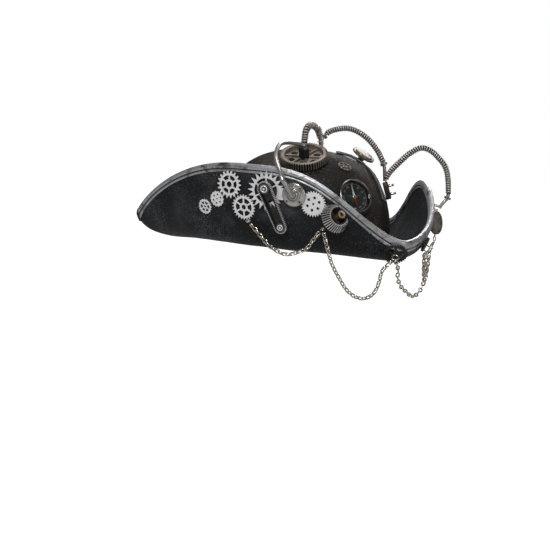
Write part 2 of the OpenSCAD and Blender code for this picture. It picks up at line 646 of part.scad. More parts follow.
short_a = big_o + big_n * (big_web + hose_r * 0.5) + 14 * across([0.58, 0.81, 0], big_n);
short_b = crown_pt(-12, 84) + [0, 0, hose_r * 0.3 + glue];
short_path = curve(arch(short_a, short_b, [[0, 0], [0, 12], [0.06, 22], [0.31, 27], [0.68, 24], [0.88, 16],
    [1, short_b[2] - short_a[2]]]), 3);
short_side = arch_side(short_a, short_b);
module short_hose() { color("#8f8880") tube(short_path, hose_r, short_side, 8); }
module short_hose_spring() {
    color("#85796d") sleeve(part_of(short_path, 2, 15), short_spring_d / 2, hose_r + sleeve_gap, short_side, 8);
}

long_a = crown_pt(-63, 84.5) + [0, 0, hose_r * 0.3 + glue];
long_b = block_top + block_along * 3 + block_up * 0.7;
long_path = curve(arch(long_a, long_b, [[0, 0], [0, 12], [0.1, 20], [0.25, 24], [0.4, 25], [0.56, 21.5], [0.72, 14],
    [0.86, 3], [0.95, -8], [0.98, -14], [1, long_b[2] - long_a[2]]]), 3);
long_side = arch_side(long_a, long_b);
module crown_hose() { color("#9c948b") tube(long_path, hose_r, long_side, 8); }
module crown_hose_spring() {
    color("#857b70") sleeve(part_of(long_path, 5, 24), long_spring_d / 2, hose_r + sleeve_gap, long_side, 8);
}

prong_at = [-47, 0.905];
prong_n = brim_n(prong_at[0], prong_at[1]);
prong_o = brim_pt(prong_at[0], prong_at[1]) + prong_n * over_trim;
flap_a = block_top - block_along * 3 + block_up * 0.9;
flap_b = prong_o + prong_n * 7.1;
flap_path = curve(arch(flap_a, flap_b, [[0, 0], [0.08, 10], [0.23, 21], [0.41, 32], [0.6, 38.5], [0.78, 36],
    [0.94, 28], [1.05, 20], [1.11, 9], [1.14, -8], [1.12, -14], [1.06, -18.5], [1, flap_b[2] - flap_a[2]]]), 3);
flap_side = arch_side(flap_a, flap_b);
module flap_hose() { color("#9c948b") tube(flap_path, hose_r, flap_side, 8); }
module flap_hose_spring() {
    color("#857b70") sleeve(part_of(flap_path, 1, 27), long_spring_d / 2, hose_r + sleeve_gap, flap_side, 8);
}
module ferrule(p, i, side) {
    skin([for (s = [-1.4, 1.4]) [for (k = [0:11]) let (d = path_dir(p, i), u = across(side, d), w = cross(d, u),
        a = 30 * k) p[i] + s * d + (long_spring_d / 2 + 0.5) * (cos(a) * u + sin(a) * w)]]);
}
// Ribbed caps where the springs of the long hoses end
module hose_ferrules() {
    color("#b0a89f") difference() {
        union() {
            ferrule(long_path, 4, long_side);
            ferrule(long_path, 25, long_side);
            ferrule(flap_path, 29, flap_side);
        }
        tube(long_path, hose_r + 0.05, long_side, 8);
        tube(flap_path, hose_r + 0.05, flap_side, 8);
    }
}

// ---------- left flap and underside ----------
module left_prongs() {
    color("#7d756d") seat_at(prong_o, prong_n) {
        translate([-3, -4, 0]) cube([6, 8, 2]);
        for (y = [-2.2, 2.2]) translate([0, y, 2]) cylinder(h = 3.8, r = prong_r, $fn = round_fn);
    }
}
left_disc_at = [-54, 0.7];
left_disc_r = left_disc_d / 2;
left_disc_n = unit([0.35, -0.93, 0.1]);
left_surface = brim_pt(left_disc_at[0], left_disc_at[1]);
left_disc_off = stand_off(brim_patch(left_disc_at[0], left_disc_at[1], left_disc_r + 12), left_surface, left_disc_n,
    left_disc_r) + over_trim + 1.1;
left_disc_o = left_surface + left_disc_n * left_disc_off;
module left_disc() {
    color("#857b72") seat_at(left_disc_o, left_disc_n) difference() {
        linear_extrude(3) polygon(teeth_outline(40, left_disc_r - 1.2, left_disc_r, 0.45));
        translate([0, 0, 2]) difference() {
            cylinder(h = 2, r = left_disc_r - 2.4, $fn = round_fn);
            translate([0, 0, -1]) cylinder(h = 4, r = left_disc_r - 3.4, $fn = round_fn);
        }
    }
}
post_foot = stand_off(brim_patch(left_disc_at[0], left_disc_at[1], 8), left_surface, left_disc_n, 3) + over_trim;
post_l = (left_disc_o - left_surface) * left_disc_n - post_foot;
module left_disc_post() {
    color("#3a3531") seat_at(left_surface + left_disc_n * post_foot, left_disc_n)
        cylinder(h = post_l, r = 2.2, $fn = round_fn);
}
under_at = [2.2, 0.75];
dark_at = [-16, 0.8];
module under_gear() {
    color("#3b3c3e") on_brim(under_at[0], under_at[1], 13, lift = over_trim) spoked_gear(30, 13, 1.2, 0.4, 9.5, 4, 1.6, 5, 1.8, 1.6);
}
module dark_gear() {
    color("#1c1b1b") on_brim(dark_at[0], dark_at[1], 8, lift = over_trim) spoked_gear(16, 8, 1.4, 0.4, 5, 2.6, 1, 4, 1.4, 2.5);
}

// ---------- eyes for the chains ----------
// An eye is a stud on the surface with a wire ring at its end
eye_wire = 0.6;
eye_r = 2.4;
stud_l = 2.5;
jump_ring_r = 3.4;
jump_stud_l = 0.6;
function eye_centre(o, n) = o + n * (stud_l + eye_r);
module eye(o, n, ring_r = eye_r, axis = [0, 0, 1], stud = stud_l) {
    seat_at(o, n) cylinder(h = stud, r = 0.9, $fn = round_fn);
    seat_at(o + n * (stud + ring_r), across(axis, n)) rotate_extrude($fn = round_fn)
        translate([ring_r, 0]) circle(eye_wire, $fn = 24);
}
eye_right_at = [60, 0.6];
eye_brow_at = [26.6, 0.67];
eye_left_at = [-24, 0.62];
function brim_eye(at) = brim_pt(at[0], at[1]) + glue * brim_n(at[0], at[1]);
under_n = brim_n(under_at[0], under_at[1]);
under_o = brim_pt(under_at[0], under_at[1]) + under_n * (over_trim + 1.6 + 2 * glue);
dark_n = brim_n(dark_at[0], dark_at[1]);
dark_o = brim_pt(dark_at[0], dark_at[1]) + dark_n * (over_trim + 2.5 + 2 * glue);
disc_down = -across([0.3, -0.2, 1], left_disc_n);
disc_foot = left_disc_o + disc_down * (left_disc_r + glue) + left_disc_n * 1.5;
module chain_eyes() {
    color("#b9ae9c") {
        eye(brim_eye(eye_right_at), brim_n(eye_right_at[0], eye_right_at[1]));
        eye(brim_eye(eye_brow_at), brim_n(eye_brow_at[0], eye_brow_at[1]));
        eye(under_o, under_n, jump_ring_r, stud = jump_stud_l);
        eye(dark_o, dark_n);
        eye(disc_foot, disc_down, axis = left_disc_n);
        eye(brim_eye(eye_left_at), brim_n(eye_left_at[0], eye_left_at[1]));
    }
}

// ---------- chains ----------
// Points of each chain as it hangs, from one eye to the other
chain_right_pts = [[-110.5, -68.5, 22], [-109, -70, 20], [-104, -77, 12], [-99, -84, 4], [-95, -90, 0],
    [-90, -97, -3], [-86, -103, -3], [-81, -110, 0], [-76, -118, 5], [-73, -122.5, 13], [-70, -127.5, 21]];
chain_brow_pts = [[-66, -132, 20], [-62, -135, 5], [-57, -137, -9], [-50, -141, -22], [-43, -145, -33],
    [-36, -149, -39], [-29, -153, -41], [-23, -157, -39], [-19, -161, -33], [-18, -165, -23],
    [-18, -169, -11], [-12.5, -174, -2]];
chain_front_pts = [[-5.5, -174, -2], [1, -170, -10], [3, -168, -19], [11, -165, -28], [18, -163, -32],
    [31, -160, -38], [43, -157, -31], [49, -155, -19], [48, -156, -7], [47, -158, 2], [48, -158.5, 7]];
chain_left_pts = [[109, -91, 11], [110, -86, 3], [105, -91, -11], [98, -98, -22], [90, -106, -27],
    [82, -114, -27], [75, -121, -21], [69, -127, -10], [66, -130, 0], [64.5, -132, 2.5]];
function chain_side(p) = arch_side(p[0], p[len(p) - 1]);
module chain(p) { color("#b9ae9c") tube(p, chain_w / 2, chain_side(p), 8); }
module chain_right() { chain(chain_right_pts); }
module chain_brow() { chain(chain_brow_pts); }
module chain_front() { chain(chain_front_pts); }
module chain_left() { chain(chain_left_pts); }

crown_shell();
crown_lining();
sweatband();
brim_shell();
brim_trim();
corner_wrap_right();
corner_wrap_left();
zip_tape();
zip_teeth();
big_gear();
big_gear_hub();
bent_pipe();
flange_plate();
flange_collar();
flange_screws();
ring_gear();
button_gear();
upper_gear();
lower_gear();
spike_gear();
pierced_gear();
drive_plate();
drive_belt();
upper_pulley();
lower_pulley();
pulley_pins();
deep_cog();
deep_cog_cup();
deep_cog_horn();
compass_case();
compass_bezel();
compass_dial();
compass_pivot();
compass_needle();
compass_glass();
crown_gear();
crown_disc();
crown_bar();
short_hose();
short_hose_spring();
crown_hose();
crown_hose_spring();
flap_hose();
flap_hose_spring();
hose_ferrules();
hose_block();
hose_block_prongs();
left_disc();
left_disc_post();
left_prongs();
under_gear();
dark_gear();
chain_eyes();
chain_right();
chain_brow();
chain_front();
chain_left();
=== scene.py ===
import bpy
import math
from mathutils import Matrix, Vector


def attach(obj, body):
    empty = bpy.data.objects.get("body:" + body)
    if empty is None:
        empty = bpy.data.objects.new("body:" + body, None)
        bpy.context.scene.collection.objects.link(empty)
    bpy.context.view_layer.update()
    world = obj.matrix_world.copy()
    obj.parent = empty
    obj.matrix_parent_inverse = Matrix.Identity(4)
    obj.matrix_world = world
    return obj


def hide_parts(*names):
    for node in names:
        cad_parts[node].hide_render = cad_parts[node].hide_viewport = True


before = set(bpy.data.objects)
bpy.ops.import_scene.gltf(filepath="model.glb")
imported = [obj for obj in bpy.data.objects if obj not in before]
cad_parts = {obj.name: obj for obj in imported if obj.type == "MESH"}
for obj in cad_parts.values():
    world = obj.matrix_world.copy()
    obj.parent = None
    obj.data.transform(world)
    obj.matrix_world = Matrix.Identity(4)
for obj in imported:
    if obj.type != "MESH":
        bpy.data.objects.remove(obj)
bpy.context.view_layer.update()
print("frame loaded")

# ---- camera ----
view = {"azimuth": -35.3, "elevation": 4.06, "roll": 4.39, "distance": 1.8, "lens": 108.72,
        "shiftX": -0.0471, "shiftY": -0.0585}


def addCamera():
    turn, lift, roll = (math.radians(view[k]) for k in ("azimuth", "elevation", "roll"))
    back = Vector((math.sin(turn) * math.cos(lift), -math.cos(turn) * math.cos(lift), math.sin(lift)))
    right = Vector((math.cos(turn), math.sin(turn), 0))
    up = back.cross(right)
    tiltedRight = right * math.cos(roll) + up * math.sin(roll)
    tiltedUp = up * math.cos(roll) - right * math.sin(roll)
    place = Matrix((tiltedRight, tiltedUp, back)).transposed().to_4x4()
    place.translation = back * view["distance"]
    bpy.ops.object.camera_add()
    camera = bpy.context.object
    camera.matrix_world = place
    camera.data.lens = view["lens"]
    camera.data.shift_x = view["shiftX"]
    camera.data.shift_y = view["shiftY"]
    camera.data.clip_end = 20
    bpy.context.scene.camera = camera


addCamera()
print("camera placed")

# ---- the hat's surfaces, as functions of the angle round the hat and the way up it ----
crown = {"width": 0.177, "length": 0.211, "height": 0.102, "square": 2.6, "slant": 0.3, "wall": 0.003}
brim = {"thick": 0.004, "frontReach": 0.180, "rearReach": 0.178, "flapReach": 0.134, "frontTip": 0.019,
        "rearTip": 0.022, "belly": 0.0065}
flaps = [(0, 62, 120, 0.083, (1.6, 4.3), (1.0, 2.7)),
         (120, 182, 245, 0.062, (1.5, 2.5), (1.5, 2.5)),
         (245, 292, 360, 0.076, (2.0, 2.4), (1.5, 1.6))]


def baseRadius(angle, inset=0.0):
    a = math.radians(angle)
    across = math.sin(a) / (crown["width"] / 2 - inset)
    along = math.cos(a) / (crown["length"] / 2 - inset)
    return 1 / math.hypot(across, along)


def swell(share, start, end):
    return 1 - (1 - share ** start) ** end


def brimEdge(angle):
    angle = angle % 360
    corners = [(brim["frontReach"], brim["frontTip"]), (brim["rearReach"], brim["rearTip"]),
               (brim["rearReach"], brim["rearTip"]), (brim["frontReach"], brim["frontTip"])]
    for k, (first, peak, last, height, rise, fall) in enumerate(flaps):
        if angle < last or k == 2:
            break
    rising = angle <= peak
    share = (angle - first) / (peak - first) if rising else (last - angle) / (last - peak)
    corner = corners[k if rising else k + 1]
    shape = rise if rising else fall
    share = min(1.0, max(0.0, share))
    reach = corner[0] + (brim["flapReach"] - corner[0]) * swell(share, 1.15, 2.3)
    return reach, corner[1] + (height - corner[1]) * swell(share, *shape)


def turned(angle, radius, height):
    a = math.radians(angle)
    return Vector((-math.sin(a) * radius, -math.cos(a) * radius, height))


def brimPoint(angle, way, off=0.0):
    base = baseRadius(angle)
    reach, height = brimEdge(angle)
    a = math.pi / 2 * way
    radius = base + (reach - base) * math.sin(a)
    level = height * (1 - math.cos(a)) - brim["belly"] * math.sin(2 * a)
    out = Vector((height * math.sin(a) - 2 * brim["belly"] * math.cos(2 * a), -(reach - base) * math.cos(a)))
    out = Vector((0, -1)) if way == 0 else out.normalized()
    return turned(angle, radius + off * out[0], level + off * out[1])


def crownPoint(angle, lift, off=0.0):
    a = math.radians(lift)
    power = 2 / crown["square"]
    radius = baseRadius(angle, -off) * max(0.0, math.cos(a)) ** power
    radius *= 1 - crown["slant"] * (math.sin(math.radians(angle) / 2) * math.sin(a)) ** 4
    level = brim["thick"] + (crown["height"] + off - brim["thick"]) * max(0.0, math.sin(a)) ** power
    return turned(angle, radius, level)


def crownNormal(angle, lift):
    up = crownPoint(angle, lift + 0.5) - crownPoint(angle, lift - 0.5)
    side = crownPoint(angle + 1, lift) - crownPoint(angle - 1, lift)
    return up.cross(side).normalized()


# ---- helpers for modelling ----
def only(obj):
    bpy.ops.object.select_all(action="DESELECT")
    obj.select_set(True)
    bpy.context.view_layer.objects.active = obj


def editAll(obj, *steps):
    only(obj)
    bpy.ops.object.mode_set(mode="EDIT")
    bpy.ops.mesh.select_all(action="SELECT")
    for step in steps:
        step()
    bpy.ops.object.mode_set(mode="OBJECT")


def mergeClose(distance=1e-5):
    return lambda: bpy.ops.mesh.remove_doubles(threshold=distance)


def faceOut():
    bpy.ops.mesh.normals_make_consistent(inside=False)


def applyModifier(obj, kind, **settings):
    only(obj)
    modifier = obj.modifiers.new(kind.lower(), kind)
    for key, value in settings.items():
        setattr(modifier, key, value)
    bpy.ops.object.modifier_apply(modifier=modifier.name)


def smooth(obj, degrees=40):
    only(obj)
    bpy.ops.object.shade_smooth_by_angle(angle=math.radians(degrees))


def joined(objects, name):
    bpy.ops.object.select_all(action="DESELECT")
    for obj in objects:
        obj.select_set(True)
    bpy.context.view_layer.objects.active = objects[0]
    if len(objects) > 1:
        bpy.ops.object.join()
    objects[0].name = name
    return objects[0]


def settle(obj, name, material, body="hat", instead=()):
    # place, turn and size go into the mesh, then the piece is tied to its body
    only(obj)
    bpy.ops.object.transform_apply(location=True, rotation=True, scale=True)
    obj.name = name
    obj.data.materials.clear()
    obj.data.materials.append(material)
    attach(obj, body)
    if instead:
        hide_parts(*instead)
    return obj


def layGrid(columns, rows, place):
    # a flat grid whose vertices are laid where place(along, across) says
    bpy.ops.object.select_all(action="DESELECT")
    bpy.ops.mesh.primitive_grid_add(x_subdivisions=columns, y_subdivisions=rows, size=2, calc_uvs=True)
    obj = bpy.context.object
    for vertex in obj.data.vertices:
        vertex.co = place((vertex.co.x + 1) / 2, (vertex.co.y + 1) / 2)
    editAll(obj, mergeClose(), faceOut)
    return obj


def seatMatrix(origin, normal, up=Vector((0, 0, 1))):
    z = Vector(normal).normalized()
    y = (Vector(up) - z * Vector(up).dot(z)).normalized()
    place = Matrix((y.cross(z), y, z)).transposed().to_4x4()
    place.translation = Vector(origin)
    return place


def roundSeat(node, centredOn=None):
    # where a round piece sits: the middle of its low face and its outward normal, read off the frame
    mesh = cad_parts[node].data
    turns = []
    for face in mesh.polygons:
        for turn in turns:
            along = turn.normalized().dot(face.normal)
            if abs(along) > 0.9999:
                turn += face.normal * face.area * math.copysign(1, along)
                break
        else:
            turns.append(face.normal * face.area)
    axis = max(turns, key=lambda turn: turn.length).normalized()
    if mesh.vertices[0].co.dot(axis) < 0:
        axis = -axis
    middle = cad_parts[centredOn or node].data
    high = max(vertex.co.dot(axis) for vertex in middle.vertices)
    tops = [face for face in middle.polygons if face.center.dot(axis) > high - 0.00002]
    centre = sum((face.center * face.area for face in tops), Vector()) / sum(face.area for face in tops)
    low = min(vertex.co.dot(axis) for vertex in mesh.vertices)
    return centre + axis * (low - centre.dot(axis)), axis


def smoothPath(points, steps=6):
    # passes through every point, evenly eased between them
    pts = [Vector(p) for p in points]
    out = []
    for i in range(len(pts) - 1):
        a, b, c, d = pts[max(0, i - 1)], pts[i], pts[i + 1], pts[min(len(pts) - 1, i + 2)]
        for k in range(steps):
            s = k / steps
            out.append(0.5 * (2 * b + (c - a) * s + (2 * a - 5 * b + 4 * c - d) * s ** 2
                              + (3 * b - a - 3 * c + d) * s ** 3))
    out.append(pts[-1])
    return out


def evenPath(points, spacing):
    # the same line with its points the same distance apart
    lengths = [0.0]
    for a, b in zip(points[:-1], points[1:]):
        lengths.append(lengths[-1] + (b - a).length)
    count = max(2, round(lengths[-1] / spacing))
    out, k = [], 0
    for i in range(count + 1):
        want = lengths[-1] * i / count
        while k < len(points) - 2 and lengths[k + 1] < want:
            k += 1
        share = (want - lengths[k]) / max(1e-9, lengths[k + 1] - lengths[k])
        out.append(points[k].lerp(points[k + 1], min(1, share)))
    return out


def framesAlong(points, side):
    frames = []
    for i, p in enumerate(points):
        d = (points[min(len(points) - 1, i + 1)] - points[max(0, i - 1)]).normalized()
        u = (side - d * side.dot(d)).normalized()
        frames.append((p, d, u, d.cross(u)))
    return frames


def ropeMesh(points, radius, sides=8, name="rope"):
    bpy.ops.object.select_all(action="DESELECT")
    curve = bpy.data.curves.new(name, "CURVE")
    curve.dimensions = "3D"
    curve.bevel_depth = radius
    curve.bevel_resolution = max(0, sides // 2 - 2)
    curve.use_fill_caps = True
    spline = curve.splines.new("POLY")
    spline.points.add(len(points) - 1)
    for spot, p in zip(spline.points, points):
        spot.co = (p.x, p.y, p.z, 1)
    obj = bpy.data.objects.new(name, curve)
    bpy.context.collection.objects.link(obj)
    only(obj)
    bpy.ops.object.convert(target="MESH")
    return bpy.context.object


def copyNode(node, bevel=0.0, segments=2, angle=35):
    # a merged copy of a frame piece, its flat faces joined up and its edges broken
    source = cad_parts[node]
    obj = bpy.data.objects.new(node + "Copy", source.data.copy())
    bpy.context.collection.objects.link(obj)
    editAll(obj, mergeClose(2e-6), lambda: bpy.ops.mesh.dissolve_limited(angle_limit=math.radians(0.6)))
    if bevel:
        applyModifier(obj, "BEVEL", width=bevel, segments=segments, limit_method="ANGLE",
                      angle_limit=math.radians(angle), use_clamp_overlap=True)
    smooth(obj, 30)
    return obj


# ---- shader groups ----
def startGroup(name, inputs, outputs):
    group = bpy.data.node_groups.new(name, "ShaderNodeTree")
    for label, kind, value in inputs:
        socket = group.interface.new_socket(name=label, in_out="INPUT", socket_type="NodeSocket" + kind)
        if value is not None:
            socket.default_value = value
    for label, kind in outputs:
        group.interface.new_socket(name=label, in_out="OUTPUT", socket_type="NodeSocket" + kind)
    first = group.nodes.new("NodeGroupInput")
    last = group.nodes.new("NodeGroupOutput")
    return group, first, last


def addNode(tree, kind, **settings):
    node = tree.nodes.new(kind)
    for key, value in settings.items():
        setattr(node, key, value)
    return node


def mathNode(tree, operation, a, b=None, clamp=False):
    node = addNode(tree, "ShaderNodeMath", operation=operation, use_clamp=clamp)
    for socket, value in zip(node.inputs, (a, b)):
        if value is None:
            continue
        if isinstance(value, (int, float)):
            socket.default_value = value
        else:
            tree.links.new(value, socket)
    return node.outputs[0]


def rampNode(tree, fac, low, high, smoothly=True):
    node = addNode(tree, "ShaderNodeMapRange", interpolation_type="SMOOTHSTEP" if smoothly else "LINEAR")
    tree.links.new(fac, node.inputs[0])
    for socket, value in ((node.inputs[1], low), (node.inputs[2], high)):
        if isinstance(value, (int, float)):
            socket.default_value = value
        else:
            tree.links.new(value, socket)
    return node.outputs[0]


def noiseNode(tree, vector, scale, detail=4.0, rough=0.5, distort=0.0):
    node = addNode(tree, "ShaderNodeTexNoise")
    tree.links.new(vector, node.inputs["Vector"])
    for label, value in (("Scale", scale), ("Detail", detail), ("Roughness", rough), ("Distortion", distort)):
        if isinstance(value, (int, float)):
            node.inputs[label].default_value = value
        else:
            tree.links.new(value, node.inputs[label])
    return node.outputs["Fac"]


def mixColour(tree, fac, a, b, blend="MIX"):
    node = addNode(tree, "ShaderNodeMix", data_type="RGBA", blend_type=blend)
    for socket, value in ((node.inputs[0], fac), (node.inputs[6], a), (node.inputs[7], b)):
        if isinstance(value, (int, float)):
            socket.default_value = value
        elif isinstance(value, (tuple, list)):
            socket.default_value = (*value, 1) if len(value) == 3 else value
        else:
            tree.links.new(value, socket)
    return node.outputs[2]


def buildSpeckle():
    # fine flecks of dried paint, thicker in patches
    group, first, last = startGroup("paintFlecks", [
        ("Vector", "Vector", None), ("Scale", "Float", 900.0), ("Patch Scale", "Float", 25.0),
        ("Amount", "Float", 0.5)], [("Mask", "Float"), ("Patch", "Float")])
    vector, scale, patchScale, amount = first.outputs[:4]
    fleck = noiseNode(group, vector, scale, 1.5, 0.6)
    patch = rampNode(group, noiseNode(group, vector, patchScale, 3.0), 0.38, 0.68)
    need = mathNode(group, "SUBTRACT", 0.74, mathNode(group, "MULTIPLY", amount, mathNode(
        group, "ADD", 0.13, mathNode(group, "MULTIPLY", patch, 0.17))))
    mask = rampNode(group, fleck, need, mathNode(group, "ADD", need, 0.09))
    group.links.new(mask, last.inputs["Mask"])
    group.links.new(patch, last.inputs["Patch"])
    return group


def buildPatina():
    # large blotches broken up by small ones, for metal that has aged
    group, first, last = startGroup("patina", [
        ("Vector", "Vector", None), ("Scale", "Float", 60.0), ("Cover", "Float", 0.5),
        ("Clean", "Color", (0.6, 0.6, 0.6, 1)), ("Aged", "Color", (0.1, 0.1, 0.1, 1))],
        [("Color", "Color"), ("Mask", "Float"), ("Height", "Float")])
    vector, scale, cover, clean, aged = first.outputs[:5]
    broad = noiseNode(group, vector, scale, 5.0, 0.6, 0.6)
    fine = noiseNode(group, vector, mathNode(group, "MULTIPLY", scale, 9.0), 4.0, 0.65)
    blend = mathNode(group, "ADD", mathNode(group, "MULTIPLY", broad, 0.65),
                     mathNode(group, "MULTIPLY", fine, 0.35))
    start = mathNode(group, "SUBTRACT", 0.72, mathNode(group, "MULTIPLY", cover, 0.4))
    mask = rampNode(group, blend, start, mathNode(group, "ADD", start, 0.16))
    group.links.new(mixColour(group, mask, clean, aged), last.inputs["Color"])
    group.links.new(mask, last.inputs["Mask"])
    group.links.new(fine, last.inputs["Height"])
    return group


def buildGrain():
    # pebbled leather: small cells with soft creases between them
    group, first, last = startGroup("leatherGrain", [
        ("Vector", "Vector", None), ("Scale", "Float", 500.0), ("Crease", "Float", 0.5)],
        [("Height", "Float"), ("Hollow", "Float")])
    vector, scale, crease = first.outputs[:3]
    cells = addNode(group, "ShaderNodeTexVoronoi", feature="DISTANCE_TO_EDGE")
    group.links.new(vector, cells.inputs["Vector"])
    group.links.new(scale, cells.inputs["Scale"])
    hollow = rampNode(group, cells.outputs["Distance"], 0.0, 0.25)
    wide = noiseNode(group, vector, mathNode(group, "MULTIPLY", scale, 0.12), 5.0, 0.6)
    height = mathNode(group, "ADD", mathNode(group, "MULTIPLY", hollow, 0.5),
                      mathNode(group, "MULTIPLY", wide, crease))
    group.links.new(height, last.inputs["Height"])
    group.links.new(hollow, last.inputs["Hollow"])
    return group


def buildWeave():
    # over and under threads
    group, first, last = startGroup("weave", [("Vector", "Vector", None), ("Scale", "Float", 700.0)],
                                    [("Height", "Float"), ("Thread", "Float")])
    vector, scale = first.outputs[:2]
    waves = []
    for direction in ("X", "Z"):
        wave = addNode(group, "ShaderNodeTexWave", wave_type="BANDS", bands_direction=direction)
        group.links.new(vector, wave.inputs["Vector"])
        group.links.new(scale, wave.inputs["Scale"])
        wave.inputs["Distortion"].default_value = 1.2
        wave.inputs["Detail Scale"].default_value = 2.0
        waves.append(wave.outputs["Fac"])
    height = mathNode(group, "MAXIMUM", waves[0], waves[1])
    group.links.new(height, last.inputs["Height"])
    group.links.new(mathNode(group, "MULTIPLY", waves[0], waves[1]), last.inputs["Thread"])
    return group


def buildScratch():
    # thin marks that run mostly one way
    group, first, last = startGroup("scratches", [("Vector", "Vector", None), ("Scale", "Float", 300.0)],
                                    [("Mask", "Float")])
    vector, scale = first.outputs[:2]
    stretch = addNode(group, "ShaderNodeMapping")
    stretch.inputs["Scale"].default_value = (0.12, 1.0, 1.0)
    stretch.inputs["Rotation"].default_value = (0.3, 0.5, 0.9)
    group.links.new(vector, stretch.inputs["Vector"])
    lines = noiseNode(group, stretch.outputs[0], scale, 3.0, 0.7)
    group.links.new(rampNode(group, lines, 0.58, 0.7), last.inputs["Mask"])
    return group


fleckGroup, patinaGroup, grainGroup, weaveGroup, scratchGroup = (
    buildSpeckle(), buildPatina(), buildGrain(), buildWeave(), buildScratch())


def startMaterial(name):
    material = bpy.data.materials.new(name)
    material.use_nodes = True
    tree = material.node_tree
    shader = tree.nodes["Principled BSDF"]
    spot = addNode(tree, "ShaderNodeTexCoord")
    return material, tree, shader, spot


def useGroup(tree, group, vector, **values):
    node = addNode(tree, "ShaderNodeGroup", node_tree=group)
    tree.links.new(vector, node.inputs["Vector"])
    for key, value in values.items():
        socket = node.inputs[key.replace("_", " ")]
        socket.default_value = (*value, 1) if isinstance(value, tuple) else value
    return node


def bumpInto(tree, shader, height, strength, distance):
    bump = addNode(tree, "ShaderNodeBump")
    bump.inputs["Strength"].default_value = strength
    bump.inputs["Distance"].default_value = distance
    tree.links.new(height, bump.inputs["Height"])
    tree.links.new(bump.outputs[0], shader.inputs["Normal"])


def metal(name, clean, aged, cover=0.5, scale=60.0, metallic=0.85, roughness=(0.3, 0.55), bump=0.25,
          scratched=0.15):
    material, tree, shader, spot = startMaterial(name)
    vector = spot.outputs["Object"]
    patina = useGroup(tree, patinaGroup, vector, Scale=scale, Cover=cover, Clean=clean, Aged=aged)
    scratches = useGroup(tree, scratchGroup, vector, Scale=420.0)
    worn = mathNode(tree, "MULTIPLY", scratches.outputs["Mask"], scratched)
    bright = tuple(min(1, c * 1.4 + 0.05) for c in clean)
    tree.links.new(mixColour(tree, worn, patina.outputs["Color"], bright), shader.inputs["Base Color"])
    spread = mathNode(tree, "MULTIPLY", patina.outputs["Mask"], roughness[1] - roughness[0])
    tree.links.new(mathNode(tree, "ADD", spread, roughness[0]), shader.inputs["Roughness"])
    shader.inputs["Metallic"].default_value = metallic
    bumpInto(tree, shader, patina.outputs["Height"], bump, 0.0002)
    return material


# root is the colour of the painted shade in the tooth roots
def rootShadedMetal(name, clean, aged, root, cover=0.5, scale=60.0, metallic=0.85, roughness=(0.25, 0.5)):
    # bright on the tooth tips and dark down in the roots; the dark in the roots is painted shade
    material = metal(name, clean, aged, cover, scale, metallic, roughness, 0.2, 0.2)
    tree = material.node_tree
    shader = tree.nodes["Principled BSDF"]
    coloured = shader.inputs["Base Color"].links[0].from_socket
    # the tooth attribute places the painted shade: 0 in the roots, 1 on the tips and flat faces
    tip = addNode(tree, "ShaderNodeAttribute", attribute_name="tooth", attribute_type="GEOMETRY")
    shade = rampNode(tree, tip.outputs["Fac"], 0.25, 0.85)
    tree.links.new(mixColour(tree, shade, root, coloured), shader.inputs["Base Color"])
    return material


def leather(name, base, tint, fleckColour, amount=0.5, scale=520.0, fleckScale=950.0, patchScale=22.0,
            roughness=(0.38, 0.6), bump=0.5, sheen=0.0, specular=0.22, haze=0.42):
    material, tree, shader, spot = startMaterial(name)
    vector = spot.outputs["Object"]
    grain = useGroup(tree, grainGroup, vector, Scale=scale, Crease=0.6)
    flecks = useGroup(tree, fleckGroup, vector, Scale=fleckScale, Patch_Scale=patchScale, Amount=amount)
    tone = rampNode(tree, noiseNode(tree, vector, 14.0, 6.0, 0.6), 0.35, 0.7)
    worn = mixColour(tree, tone, base, tint)
    cloud = rampNode(tree, noiseNode(tree, vector, 17.0, 4.0, 0.55, 0.4), 0.52, 0.8)
    hazed = mixColour(tree, mathNode(tree, "MULTIPLY", cloud, haze), worn, fleckColour)
    tree.links.new(mixColour(tree, flecks.outputs["Mask"], hazed, fleckColour), shader.inputs["Base Color"])
    spread = mathNode(tree, "MULTIPLY", grain.outputs["Hollow"], roughness[0] - roughness[1])
    tree.links.new(mathNode(tree, "ADD", spread, roughness[1]), shader.inputs["Roughness"])
    shader.inputs["Specular IOR Level"].default_value = specular
    shader.inputs["Sheen Weight"].default_value = sheen
    bumpInto(tree, shader, grain.outputs["Height"], bump, 0.0003)
    return material


def cloth(name, base, tint, scale=700.0, roughness=0.85, sheen=0.2):
    material, tree, shader, spot = startMaterial(name)
    vector = spot.outputs["Object"]
    weave = useGroup(tree, weaveGroup, vector, Scale=scale)
    tone = noiseNode(tree, vector, 90.0, 5.0)
    mixed = mixColour(tree, mathNode(tree, "MULTIPLY", weave.outputs["Thread"], tone), base, tint)
    tree.links.new(mixed, shader.inputs["Base Color"])
    shader.inputs["Roughness"].default_value = roughness
    shader.inputs["Sheen Weight"].default_value = sheen
    bumpInto(tree, shader, weave.outputs["Height"], 0.5, 0.0002)
    return material


